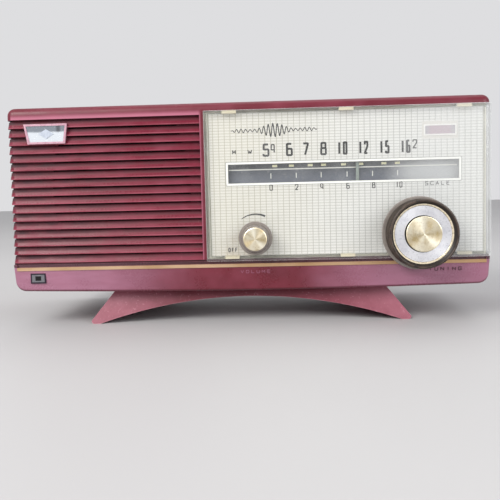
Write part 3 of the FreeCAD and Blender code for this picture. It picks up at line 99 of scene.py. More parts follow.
class Finish:
    """A material and short calls for the nodes that it is made of."""

    def __init__(self, name):
        self.material = bpy.data.materials.new(name)
        self.material.use_nodes = True
        self.tree = self.material.node_tree
        self.shader = self.tree.nodes["Principled BSDF"]
        self.place = self.node("TexCoord", {}, "Object")
        split = self.tree.nodes.new("ShaderNodeSeparateXYZ")
        self.tree.links.new(self.place, split.inputs[0])
        self.x, self.y, self.z = split.outputs

    def put(self, value, socket):
        """Sets a socket from a plain value or from another socket."""
        if isinstance(value, bpy.types.NodeSocket):
            self.tree.links.new(value, socket)
        else:
            socket.default_value = value

    def node(self, kind, inputs, output=0, **settings):
        """A new node's output."""
        made = self.tree.nodes.new("ShaderNode" + kind)
        for name, value in settings.items():
            setattr(made, name, value)
        for name, value in inputs.items():
            self.put(value, made.inputs[name])
        return made.outputs[output]

    def math(self, operation, first, second=0.0, third=0.0):
        return self.node("Math", {0: first, 1: second, 2: third}, operation=operation)

    def plus(self, first, second):
        return self.math("ADD", first, second)

    def times(self, first, second):
        return self.math("MULTIPLY", first, second)

    def inverse(self, value):
        return self.math("SUBTRACT", 1.0, value)

    def step(self, value, start, end):
        """0 before start, 1 after end, smooth between them. Start may be above end."""
        return self.node("MapRange", {"Value": value, "From Min": start, "From Max": end},
                         interpolation_type="SMOOTHSTEP")

    def span(self, value, low, high, soft):
        """1 between low and high, with soft edges."""
        above = self.step(value, low - soft, low + soft)
        return self.times(above, self.step(value, high + soft, high - soft))

    def noise(self, size, detail=3.0, stretch=(1, 1, 1), seed=0.0, roughness=0.55):
        """Cloudy noise whose features are about size metres across."""
        scaled = self.node("VectorMath", {0: self.place, 1: stretch}, operation="MULTIPLY")
        moved = self.node("VectorMath", {0: scaled, 1: (seed, seed * 0.7, seed * 1.3)}, operation="ADD")
        return self.node("TexNoise", {"Vector": moved, "Scale": 1 / size, "Detail": detail,
                                      "Roughness": roughness}, "Fac")

    def blotch(self, size, low, high, seed=0.0, detail=3.0, stretch=(1, 1, 1)):
        """Patches: noise cut to 0 below low and 1 above high."""
        return self.step(self.noise(size, detail, stretch, seed), low, high)

    def fibres(self, size, stretch):
        """Short fibres lying both ways."""
        upright = self.noise(size, 3, (1, 1, stretch), 1)
        lying = self.noise(size, 3, (stretch, 1, 1), 2)
        return self.plus(self.times(upright, 0.5), self.times(lying, 0.5))

    def mix(self, share, first, second):
        """A colour between two."""
        return self.node("Mix", {0: share, 6: first, 7: second}, 2, data_type="RGBA")

    def tint(self, colour, mask, amount, other):
        """A share of another colour mixed into a colour, where the mask is 1."""
        return self.mix(self.times(mask, amount), colour, other)

    def facing_up(self):
        """How far the surface faces upwards: 1 on a top, -1 on an underside."""
        return self.node("SeparateXYZ", {0: self.node("NewGeometry", {}, "Normal")}, "Z")

    def radius(self, axis):
        """Distance from a front-to-back axis."""
        across = self.math("SUBTRACT", self.x, axis.x)
        up = self.math("SUBTRACT", self.z, axis.z)
        return self.math("SQRT", self.plus(self.times(across, across), self.times(up, up)))

    def bump(self, height, distance, strength=1.0):
        """A bump whose full height is distance metres."""
        self.put(self.node("Bump", {"Height": height, "Distance": distance, "Strength": strength}, "Normal"),
                 self.shader.inputs["Normal"])

    def finish(self, colour, roughness, **settings):
        """Sets the main shader's sockets."""
        self.put(colour, self.shader.inputs["Base Color"])
        self.put(roughness, self.shader.inputs["Roughness"])
        for name, value in settings.items():
            self.put(value, self.shader.inputs[name.replace("_", " ")])
        return self.material

    def edge(self, radius):
        """1 on sharp edges, from how far a rounded normal leaves the face's own."""
        rounded = self.node("Bevel", {"Radius": radius}, "Normal", samples=6)
        own = self.node("NewGeometry", {}, "True Normal")
        along = self.node("VectorMath", {0: rounded, 1: own}, "Value", operation="DOT_PRODUCT")
        return self.step(along, 0.99, 0.80)

    def see_through(self, opaque_share, tint):
        """Mixes the main shader with clear space behind it."""
        clear = self.node("BsdfTransparent", {"Color": tint})
        solid = self.shader.outputs["BSDF"]
        mixed = self.node("MixShader", {0: opaque_share, 1: clear, 2: solid})
        self.tree.links.new(mixed, self.tree.nodes["Material Output"].inputs["Surface"])
        return self.material


# ---- General finishes ----

def plastic(name, dark, light, roughness=0.4, grain=0.012):
    """Moulded plastic: mottled colour, faint swirl and a fine skin."""
    f = Finish(name)
    cloud = f.noise(grain, 4)
    speck = f.blotch(grain / 14, 0.62, 0.75, 3)
    colour = f.mix(cloud, dark, light)
    colour = f.tint(colour, speck, 0.25, scaled(light, 1.8))
    f.bump(f.noise(grain / 20, 2), 0.00004, 0.6)
    return f.finish(colour, f.plus(f.times(cloud, 0.2), roughness - 0.1))


def metal(name, bright, dull, roughness=0.35, grain=0.004, stretch=(1, 1, 1)):
    """Bare or plated metal: drawn grain, dull patches and small pits."""
    f = Finish(name)
    lines = f.noise(grain, 5, stretch)
    patches = f.blotch(0.011, 0.45, 0.7, 5)
    pits = f.blotch(0.0012, 0.68, 0.78, 8)
    colour = f.mix(patches, bright, dull)
    colour = f.tint(colour, pits, 0.5, scaled(dull, 0.4))
    f.bump(lines, 0.00003, 0.7)
    rough = f.plus(f.times(lines, 0.25), f.plus(f.times(patches, 0.12), roughness - 0.15))
    return f.finish(colour, rough, Metallic=1.0)


def board(name, dark, light, fibre=0.0012, depth=0.00008):
    """Pressed board, paper or felt: short fibres in every direction and stains."""
    f = Finish(name)
    fibres = f.fibres(fibre, 5)
    stain = f.blotch(0.03, 0.45, 0.75, 4)
    colour = f.mix(fibres, dark, light)
    colour = f.tint(colour, stain, 0.35, scaled(dark, 0.7))
    f.bump(fibres, depth)
    return f.finish(colour, 0.85, Specular_IOR_Level=0.3)


def weave(name, dark, light, pitch):
    """Woven threads crossing over and under."""
    f = Finish(name)
    warp = f.math("SINE", f.times(f.x, math.tau / pitch))
    weft = f.math("SINE", f.times(f.z, math.tau / pitch))
    cross = f.math("ABSOLUTE", f.plus(f.times(warp, 0.5), f.times(weft, 0.5)))
    fuzz = f.noise(pitch / 3, 2)
    height = f.plus(f.times(cross, 0.7), f.times(fuzz, 0.3))
    f.bump(height, pitch / 4)
    return f.finish(f.mix(height, dark, light), 0.9, Sheen_Weight=0.3)


def glass(name, tint, haze):
    """Thin clear glass with patches of dust."""
    f = Finish(name)
    rim = f.node("Fresnel", {"IOR": 1.45})
    dust = f.times(f.blotch(0.006, 0.4, 0.8, 2), haze)
    f.finish(f.mix(dust, tint, srgb(210, 205, 200)), f.plus(f.times(dust, 0.5), 0.05))
    return f.see_through(f.math("ADD", f.plus(rim, 0.08), dust), tint)


# ---- The cabinet ----

maroon_dark = srgb(78, 7, 24)
maroon = srgb(106, 14, 36)
# Painted shade: the dark maroon laid in the recess under the louvres and in the tray's step
maroon_shade = srgb(46, 7, 18)
maroon_worn = srgb(196, 104, 128)
dust_grey = srgb(60, 44, 48)


def cabinet_base(f):
    """The moulded maroon with its swirl, faint handling haze and specks. Gives colour and roughness."""
    swirl = f.noise(0.05, 4, (1, 1, 2.2))
    fine = f.noise(0.0016, 3, seed=7)
    colour = f.mix(swirl, maroon_dark, maroon)
    haze = f.times(f.blotch(0.02, 0.4, 0.75, 12), 0.12)
    colour = f.mix(haze, colour, srgb(166, 84, 108))
    colour = f.tint(colour, f.step(fine, 0.66, 0.8), 0.3, srgb(180, 110, 126))
    rough = f.plus(f.times(haze, 1.2), f.plus(f.times(fine, 0.14), 0.2))
    return colour, rough


def scratch_height(f):
    """Fine skin and long light scratches."""
    skin = f.noise(0.0005, 2, seed=1)
    drawn = f.noise(0.0011, 3, (0.07, 1, 1), seed=2)
    return f.plus(f.times(skin, 0.35), f.times(drawn, 0.65))


def shell_finish():
    """The upper moulding: a painted highlight along the lip over the louvres and down the divider's edge,
    painted shade on the sill below the louvres, pale worn corners, dust on top.
    """
    f = Finish("cabinet_plastic")
    colour, rough = cabinet_base(f)
    front = f.step(f.y, front_y + 0.6 * mm, front_y + 0.2 * mm)
    # Painted highlight: a bright pink band along the lip's lower edge over the louvres
    lip_highlight = f.times(f.step(f.z, grille_high.z + 4.6 * mm, grille_high.z + 0.4 * mm), front)
    lip_highlight = f.times(lip_highlight, f.step(f.x, grille_high.x + 2 * mm, grille_high.x - 1 * mm))
    worn = f.times(f.edge(0.5 * mm), f.blotch(0.009, 0.3, 0.62, 4))
    colour = f.tint(colour, lip_highlight, 0.6, srgb(196, 120, 144))
    # Painted highlight: a faint pale line down the divider's edge beside the louvres
    divider_highlight = f.times(f.span(f.x, grille_high.x, grille_high.x + 0.7 * mm, 0.2 * mm), front)
    divider_highlight = f.times(divider_highlight, f.step(f.z, grille_high.z + 1 * mm, grille_high.z))
    colour = f.tint(colour, divider_highlight, 0.12, srgb(190, 110, 128))
    # Painted shade: the sill under the louvres is darkened as if shadowed in its recess
    sill_shade = f.times(f.step(f.z, grille_low.z + 0.3 * mm, grille_low.z - 0.1 * mm),
                   f.step(f.y, front_y + 8 * mm, front_y + 6 * mm))
    colour = f.tint(colour, sill_shade, 0.8, maroon_shade)
    colour = f.tint(colour, worn, 0.25, maroon_worn)
    top_dust = f.times(f.step(f.facing_up(), 0.7, 0.95), f.blotch(0.004, 0.35, 0.75, 9))
    colour = f.tint(colour, top_dust, 0.22, dust_grey)
    f.bump(scratch_height(f), 0.00005, 0.5)
    return f.finish(colour, f.plus(f.plus(rough, 0.12), f.times(top_dust, 0.25)), Specular_IOR_Level=0.4)


def louvre_finish():
    """The louvres: pale lower edges, rubbed in patches and lit by a painted highlight, dust on the slopes,
    thickest at the outer end, painted shade in the gaps.
    """
    f = Finish("cabinet_louvres")
    colour, rough = cabinet_base(f)
    pitch = (grille_high.z - grille_low.z) / slat_count
    phase = f.math("FRACT", f.math("DIVIDE", f.math("SUBTRACT", f.z, grille_low.z + 0.02 * mm), pitch))
    lit_lower_edge = f.step(phase, 0.17, 0.08)
    slope = f.span(phase, 0.46, 0.90, 0.15)
    outward = f.plus(f.times(f.step(f.x, grille_high.x - 0.02, grille_low.x), 0.42), 0.5)
    patch = f.blotch(0.006, 0.3, 0.62, 3, 5, (0.4, 1, 1))
    grit = f.blotch(0.0011, 0.3, 0.7, 6)
    dust = f.times(f.times(slope, outward), f.plus(f.times(patch, 0.5), f.plus(f.times(grit, 0.2), 0.35)))
    colour = f.mix(dust, colour, dust_grey)
    # Painted highlight, patchy like rubbing: a pale pink band along each slat's lower edge
    rubbed = f.times(lit_lower_edge, f.plus(f.times(f.blotch(0.01, 0.3, 0.6, 8, 4, (0.3, 1, 1)), 0.25), 0.1))
    colour = f.mix(rubbed, colour, srgb(196, 112, 128))
    lower = f.span(phase, 0.12, 0.4, 0.1)
    colour = f.tint(colour, lower, 0.13, srgb(150, 54, 80))
    # Painted shade: darker deep behind the slats' fronts, in the gaps between them
    gap = f.step(f.y, front_y + 3.0 * mm, front_y + 4.4 * mm)
    colour = f.tint(colour, gap, 0.9, srgb(30, 5, 12))
    f.bump(f.plus(scratch_height(f), dust), 0.00006, 0.6)
    return f.finish(colour, f.plus(rough, f.times(dust, 0.5)), Specular_IOR_Level=0.26)


def tray_finish():
    """The lower moulding: bloom and a painted reflection in lilac at its face's ends, maroon between,
    painted shade below and in its step.
    """
    f = Finish("cabinet_tray")
    colour, rough = cabinet_base(f)
    wander = f.times(f.math("SUBTRACT", f.noise(0.04, 3, seed=15), 0.5), 0.05)
    left = f.step(f.plus(f.x, wander), -0.02, -0.15)
    right = f.step(f.plus(f.x, wander), 0.03, 0.11)
    facing = f.step(f.y, front_y + 6 * mm, front_y + 3 * mm)
    # Bloom and painted reflection: pale lilac streaks towards both ends of the face
    bloom_and_reflection = f.times(facing, f.plus(f.times(left, 0.66), f.times(right, 0.62)))
    streaks = f.plus(f.times(f.noise(0.004, 4, (0.2, 1, 1), 5), 0.5), 0.72)
    colour = f.mix(f.times(bloom_and_reflection, streaks), colour, srgb(166, 116, 140))
    # Painted shade: darker on the downward-facing rounding at the foot of the face
    under = f.times(f.step(f.facing_up(), -0.25, -0.5), f.step(f.y, front_y + 12 * mm, front_y + 6 * mm))
    colour = f.tint(colour, under, 0.7, srgb(84, 8, 26))
    # Painted shade: darker over the step at the top of the face, below the louvres and the lens
    recess_shade = f.times(f.step(f.z, underside_z + 17.7 * mm, underside_z + 18.0 * mm), facing)
    colour = f.tint(colour, recess_shade, 0.85, maroon_shade)
    worn = f.times(f.edge(0.6 * mm), f.plus(f.times(f.blotch(0.008, 0.3, 0.6, 4), 0.6), 0.3))
    colour = f.tint(colour, worn, 0.6, srgb(214, 124, 146))
    f.bump(scratch_height(f), 0.00005, 0.5)
    return f.finish(colour, rough, Coat_Weight=0.2, Coat_Roughness=0.15)


def stand_finish():
    """The stand: rubbed plastic with bloom and a painted reflection, palest at its tips."""
    f = Finish("stand_plastic")
    colour, rough = cabinet_base(f)
    # Bloom and painted reflection: paler towards the tips
    outward = f.step(f.math("ABSOLUTE", f.x), 0.045, 0.118)
    mottle = f.noise(0.009, 5, seed=21)
    bloom_and_reflection = f.times(f.plus(f.times(outward, 0.5), 0.04), f.plus(f.times(mottle, 0.9), 0.4))
    colour = f.mix(bloom_and_reflection, colour, srgb(176, 110, 126))
    specks = f.blotch(0.0016, 0.6, 0.72, 31)
    colour = f.tint(colour, specks, 0.22, srgb(214, 160, 172))
    worn = f.times(f.edge(0.6 * mm), f.blotch(0.007, 0.25, 0.6, 4))
    colour = f.tint(colour, worn, 0.5, srgb(220, 160, 172))
    f.bump(f.plus(f.times(scratch_height(f), 0.5), f.times(f.noise(0.0018, 3, seed=4), 0.5)), 0.00008, 0.6)
    return f.finish(colour, f.plus(rough, 0.1))


def cover_finish():
    """The pressed rear board: brown fibres, darkened by heat towards its top, with pale worn edges."""
    f = Finish("cover_board")
    fibres = f.fibres(0.0012, 6)
    colour = f.mix(fibres, srgb(88, 60, 42), srgb(132, 98, 70))
    heat = f.times(f.blotch(0.06, 0.4, 0.7, 3), f.step(f.z, underside_z + 60 * mm, underside_z + 120 * mm))
    colour = f.tint(colour, heat, 0.45, srgb(58, 38, 28))
    worn = f.times(f.edge(0.4 * mm), f.blotch(0.006, 0.3, 0.6, 5))
    colour = f.tint(colour, worn, 0.5, srgb(170, 140, 108))
    f.bump(fibres, 0.00012)
    return f.finish(colour, 0.8, Specular_IOR_Level=0.3)


# ---- The dial ----

def panel_finish():
    """The printed dial: cream cells between thin grey lines, yellowed left, cooler right, stained low."""
    f = Finish("dial_print")

    def ruled(place, start, pitch, clear, full):
        """A line in the middle of each pitch. Clear and full are shares of the pitch either side of it."""
        share = f.math("FRACT", f.math("DIVIDE", f.math("SUBTRACT", place, start), pitch))
        return f.step(f.math("ABSOLUTE", f.math("SUBTRACT", share, 0.5)), clear, full)

    def printed_area(margin):
        """1 inside the printed field, grown by a margin."""
        left, right = panel_low.x + 6.4 * mm, panel_high.x - 2.1 * mm
        bottom, top = underside_z + 24.2 * mm, underside_z + 132.8 * mm
        return f.times(f.span(f.x, left - margin, right + margin, 0.2 * mm),
                       f.span(f.z, bottom - margin, top + margin, 0.2 * mm))

    column_line = ruled(f.x, window_low.x, cell_width, 0.085, 0.03)
    row_line = ruled(f.z, window_low.z, cell_height, 0.22, 0.08)
    warm = f.step(f.x, 0.11, -0.02)
    cell = f.mix(warm, srgb(216, 216, 215), srgb(214, 212, 205))
    cell = f.mix(f.times(f.noise(0.012, 4, seed=3), 0.25), cell, srgb(208, 206, 194))
    low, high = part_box("indicator_frame")
    blank = f.times(f.span(f.x, low.x - 1.2 * mm, high.x + 1.2 * mm, 0.3 * mm),
                    f.span(f.z, low.z - 2.3 * mm, high.z + 2.3 * mm, 0.3 * mm))
    cell = f.mix(blank, cell, srgb(205, 202, 197))
    printed = f.inverse(blank)
    row_line = f.times(row_line, printed)
    column_line = f.times(column_line, printed)
    colour = f.mix(f.times(row_line, 0.7), cell, f.mix(warm, srgb(174, 174, 171), srgb(178, 174, 160)))
    colour = f.tint(colour, column_line, 0.85, f.mix(warm, srgb(162, 162, 158), srgb(168, 164, 144)))
    stain_spot = Vector((volume_axis.x - 10 * mm, 0, volume_axis.z - 16 * mm))
    stain = f.times(f.step(f.radius(stain_spot), 0.032, 0.004), f.blotch(0.009, 0.25, 0.75, 6))
    colour = f.tint(colour, stain, 0.42, srgb(176, 152, 128))
    frame_line = f.times(printed_area(0.9 * mm), f.inverse(printed_area(0.3 * mm)))
    border = f.mix(f.noise(0.005, 3, seed=9), srgb(188, 184, 168), srgb(206, 203, 189))
    border = f.mix(f.times(frame_line, 0.85), border, srgb(92, 95, 80))
    colour = f.mix(printed_area(0.0), border, colour)
    tab = f.step(f.y, panel_y - 0.2 * mm, panel_y - 0.6 * mm)
    colour = f.mix(tab, colour, srgb(212, 203, 176))
    f.bump(f.inverse(f.math("MAXIMUM", column_line, row_line)), 0.00006, 0.6)
    return f.finish(colour, f.plus(f.times(stain, 0.3), 0.42))


def slate_finish():
    """The plate behind the window: brushed slate grey, darker above the scale line, paled by a painted
    reflection on the right.
    """
    f = Finish("dial_grey")
    brushed = f.noise(0.0014, 4, (0.04, 1, 1))
    line_z = window_low.z + scale_line
    low = f.step(f.z, line_z, window_low.z)
    above = f.step(f.z, line_z - 0.2 * mm, line_z + 0.2 * mm)
    pale = f.plus(f.times(low, 0.75), f.times(brushed, 0.25))
    colour = f.mix(pale, srgb(54, 58, 67), srgb(95, 100, 112))
    colour = f.tint(colour, above, 0.7, srgb(64, 66, 69))
    dust = f.times(f.blotch(0.003, 0.55, 0.8, 4), 0.3)
    colour = f.mix(dust, colour, srgb(150, 150, 150))
    # Painted reflection: a pale grey wash over the right end of the plate
    pale_reflection = f.step(f.x, window_low.x + 117 * mm, window_low.x + 142 * mm)
    colour = f.tint(colour, pale_reflection, 0.8, srgb(178, 180, 182))
    f.bump(brushed, 0.00003, 0.6)
    return f.finish(colour, f.plus(f.times(brushed, 0.2), 0.4))


def lens_finish():
    """The clear moulding: glossy face with rubbed patches and scratches, paler where it is seen on edge."""
    f = Finish("clear_lens")
    normal = f.node("NewGeometry", {}, "Normal")
    across = f.math("ABSOLUTE", f.node("SeparateXYZ", {0: normal}, "Y"))
    wall = f.step(across, 0.97, 0.35)
    scratch = f.times(f.blotch(0.0008, 0.66, 0.74, 5, 2, (1, 1, 0.05)), f.blotch(0.03, 0.5, 0.7, 2))
    rub = f.times(f.blotch(0.018, 0.45, 0.8, 8, 5), 0.05)
    gloss = f.math("MINIMUM", f.node("Fresnel", {"IOR": 1.46}), 0.22)
    # Haze and painted reflection: the lens grows whiter and less clear towards its right end
    haze_and_reflection = f.times(f.step(f.plus(f.x, f.times(f.noise(0.05, 2, seed=5), 0.02)), 0.110, 0.160),
                   f.plus(f.times(f.noise(0.02, 3, seed=6), 0.1), 0.06))
    share = f.plus(f.plus(gloss, f.times(wall, 0.22)), f.plus(f.times(scratch, 0.10), f.plus(rub, haze_and_reflection)))
    f.finish(srgb(238, 240, 240), f.plus(f.times(rub, 3.0), 0.04), Specular_IOR_Level=0.8)
    return f.see_through(f.math("MINIMUM", share, 0.9), (0.99, 0.99, 0.985, 1))


def window_finish():
    """The pinkish indicator, clouded, and greyer at its ends."""
    f = Finish("pink_window")
    low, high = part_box("indicator_window")
    middle = f.span(f.x, low.x + 3 * mm, high.x - 3 * mm, 2 * mm)
    colour = f.mix(middle, srgb(162, 158, 165), srgb(169, 149, 160))
    colour = f.tint(colour, f.noise(0.003, 4), 0.3, srgb(194, 182, 187))
    f.bump(f.noise(0.001, 2), 0.00003, 0.5)
    return f.finish(colour, f.plus(f.times(f.noise(0.004), 0.15), 0.15), Coat_Weight=0.4)


# ---- Knobs ----

def knob_finish():
    """The large knob: brown-black plastic, polished by fingers on the rim, dust in the diamonds' grooves."""
    f = Finish("knob_brown")
    radius = f.radius(tuning_axis)
    grooves = f.step(radius, knob_radius - 0.75 * mm, knob_radius - 0.6 * mm)
    knurled = f.times(grooves, f.step(radius, knob_radius, knob_radius - 0.3 * mm))
    cloud = f.noise(0.006, 4)
    colour = f.mix(cloud, srgb(22, 16, 14), srgb(38, 29, 25))
    # Painted shade: the inner wall of the well is darkened towards its floor
    well = f.step(radius, knob_radius - 1.6 * mm, knob_radius - 2.4 * mm)
    well_shade_depth = f.step(f.y, knob_low.y, knob_low.y + 4.5 * mm)
    colour = f.tint(colour, f.times(well, well_shade_depth), 0.5, srgb(30, 22, 20))
    dust = f.times(knurled, f.plus(f.times(f.blotch(0.004, 0.3, 0.7, 3), 0.18), 0.03))
    colour = f.mix(dust, colour, srgb(158, 138, 118))
    rim = f.times(f.step(f.y, knob_low.y + 0.8 * mm, knob_low.y + 0.2 * mm), f.blotch(0.005, 0.3, 0.6, 9))
    colour = f.tint(colour, rim, 0.25, srgb(120, 98, 82))
    f.bump(f.noise(0.0006, 2), 0.00003, 0.6)
    return f.finish(colour, f.plus(f.times(dust, 0.5), f.plus(f.times(cloud, 0.12), 0.3)),
                    Specular_IOR_Level=0.4)


def smoke_finish():
    """Smoky clear plastic: tinted, glossy, with a rubbed edge."""
    f = Finish("smoke_plastic")
    cloud = f.noise(0.005, 4)
    colour = f.mix(cloud, srgb(132, 124, 120), srgb(166, 158, 150))
    worn = f.times(f.edge(0.3 * mm), f.blotch(0.004, 0.3, 0.6, 4))
    colour = f.tint(colour, worn, 0.6, srgb(220, 212, 200))
    f.bump(f.noise(0.0006, 2), 0.00002, 0.6)
    f.finish(colour, f.plus(f.times(cloud, 0.1), 0.12), Coat_Weight=0.4)
    return f.see_through(f.plus(f.times(cloud, 0.12), 0.62), srgb(190, 180, 172))


def bezel_finish():
    """The cream-gold ring at the foot of the knob's well."""
    f = Finish("knob_cream")
    cloud = f.noise(0.003, 4)
    colour = f.mix(cloud, srgb(220, 202, 168), srgb(244, 234, 210))
    f.bump(f.noise(0.0005, 2), 0.00002, 0.5)
    return f.finish(colour, f.plus(f.times(cloud, 0.15), 0.2), Metallic=0.55, Coat_Weight=0.3)


def spun_finish(name, axis, bright, dull, anisotropy, conic_highlight):
    """Metal turned on a lathe: concentric lines, dull specks that handling leaves, and painted highlights
    and shade in wedges round the axis.
    """
    f = Finish(name)
    radius = f.radius(axis)
    ringed = f.node("CombineXYZ", {"X": radius})
    rings = f.node("TexNoise", {"Vector": ringed, "Scale": 6000.0, "Detail": 3.0}, "Fac")
    broad = f.node("TexNoise", {"Vector": ringed, "Scale": 900.0, "Detail": 2.0}, "Fac")
    specks = f.blotch(0.0014, 0.58, 0.68, 4)
    patina = f.blotch(0.005, 0.42, 0.7, 7)
    # Painted highlight and shade: the colour brightens and darkens with the angle round the axis
    across = f.math("SUBTRACT", f.x, axis.x)
    up = f.math("SUBTRACT", f.z, axis.z)
    angle = f.math("ARCTAN2", up, across)
    broad_turn = f.math("SINE", f.plus(f.times(angle, 2.0), 0.9))
    narrow_turn = f.math("SINE", f.plus(f.times(angle, 5.0), 2.2))
    turns = f.plus(broad_turn, narrow_turn)
    painted_highlight = f.plus(f.times(turns, conic_highlight), conic_highlight)
    colour = f.mix(f.plus(f.times(f.plus(patina, broad), 0.35), painted_highlight), bright, dull)
    colour = f.tint(colour, specks, 0.35, scaled(dull, 0.55))
    f.bump(f.plus(f.times(rings, 0.7), f.times(broad, 0.3)), 0.00003, 0.8)
    f.put(f.node("Tangent", {}, direction_type="RADIAL", axis="Y"), f.shader.inputs["Tangent"])
    rough = f.plus(f.times(specks, 0.15), f.plus(f.times(rings, 0.1), 0.24))
    return f.finish(colour, rough, Metallic=1.0, Anisotropic=anisotropy)


# ---- Badge and trim ----

def mirror_finish():
    """The bright plate of the badge: a painted reflection, grey above and pale below, darker again near its
    right end, with fine wear.
    """
    f = Finish("badge_mirror")
    low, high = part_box("badge_mirror")
    # Painted reflection: the upper part grey, the lower part pale
    upper = f.step(f.plus(f.z, f.times(f.noise(0.02, 2), 0.002)), low.z + 7.5 * mm, low.z + 9.5 * mm)
    colour = f.mix(upper, srgb(224, 230, 236), srgb(136, 142, 150))
    # Painted reflection: a dark patch near the right end of the upper part
    dark_reflection = f.times(f.span(f.x, high.x - 7 * mm, high.x - 4 * mm, 1 * mm), upper)
    colour = f.tint(colour, dark_reflection, 0.6, srgb(60, 56, 60))
    wear = f.blotch(0.0012, 0.6, 0.75, 4)
    colour = f.tint(colour, wear, 0.3, srgb(150, 140, 132))
    f.bump(f.noise(0.0008, 3, (0.2, 1, 1)), 0.00002, 0.5)
    return f.finish(colour, f.plus(f.times(wear, 0.2), 0.22), Metallic=0.7)


def rim_finish():
    """The badge's pale pink plated rim."""
    f = Finish("badge_rim")
    cloud = f.noise(0.004, 4)
    colour = f.mix(cloud, srgb(178, 128, 146), srgb(214, 176, 188))
    worn = f.times(f.edge(0.3 * mm), f.blotch(0.003, 0.3, 0.6, 2))
    colour = f.tint(colour, worn, 0.6, srgb(250, 240, 236))
    f.bump(f.noise(0.0006, 3), 0.00002, 0.6)
    return f.finish(colour, f.plus(f.times(cloud, 0.15), 0.2), Metallic=0.5)


def emblem_finish():
    """The plain diamond etched in the badge: pale blue-grey, hardly darker than the plate round it."""
    f = Finish("badge_emblem")
    etched = f.noise(0.0009, 3, (1, 1, 0.3))
    colour = f.mix(etched, srgb(150, 158, 172), srgb(190, 196, 206))
    f.bump(etched, 0.00003, 0.7)
    return f.finish(colour, f.plus(f.times(etched, 0.2), 0.3), Metallic=0.6)


def corner_plate_finish():
    """The small plate: a dark border round a grey field with a plain black square."""
    f = Finish("dark_metal")
    low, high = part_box("corner_plate")
    field = f.times(f.span(f.x, low.x + 1.1 * mm, high.x - 1.1 * mm, 0.15 * mm),
                    f.span(f.z, low.z + 1.1 * mm, high.z - 1.1 * mm, 0.15 * mm))
    square = f.times(f.span(f.x, low.x + 3.7 * mm, low.x + 8.3 * mm, 0.15 * mm),
                     f.span(f.z, low.z + 2.2 * mm, low.z + 5.8 * mm, 0.15 * mm))
    colour = f.mix(field, srgb(38, 26, 40), f.mix(f.noise(0.002, 3), srgb(88, 88, 94), srgb(126, 126, 130)))
    colour = f.mix(square, colour, srgb(14, 13, 15))
    colour = f.tint(colour, f.edge(0.25 * mm), 0.4, srgb(120, 100, 120))
    f.bump(f.plus(f.times(field, -0.7), f.times(f.noise(0.0008, 3), 0.3)), 0.0001, 0.5)
    return f.finish(colour, f.plus(f.times(f.noise(0.003, 3), 0.2), 0.3), Metallic=0.5)


def trim_finish():
    """The gold strip: drawn lengthwise, rubbed paler in places, pitted here and there."""
    f = Finish("gold_anodised")
    drawn = f.noise(0.0012, 4, (0.03, 1, 1))
    rubbed = f.blotch(0.035, 0.35, 0.7, 3, 4, (0.5, 1, 1))
    colour = f.mix(rubbed, srgb(176, 140, 102), srgb(206, 174, 142))
    pits = f.blotch(0.0013, 0.64, 0.74, 5)
    colour = f.tint(colour, pits, 0.45, srgb(120, 90, 60))
    f.bump(f.plus(f.times(drawn, 0.8), f.times(pits, -0.2)), 0.00004, 0.7)
    return f.finish(colour, f.plus(f.times(drawn, 0.2), 0.3), Metallic=0.75)


def ink(name, colour, wear):
    """Printed ink: slightly broken, more matt than what it lies on."""
    f = Finish(name)
    broken = f.times(f.blotch(0.0006, 0.58, 0.72, 3), wear)
    f.bump(f.noise(0.0004, 2), 0.00001, 0.5)
    return f.finish(f.mix(broken, colour, srgb(176, 172, 160)), f.plus(f.times(broken, 0.2), 0.45))


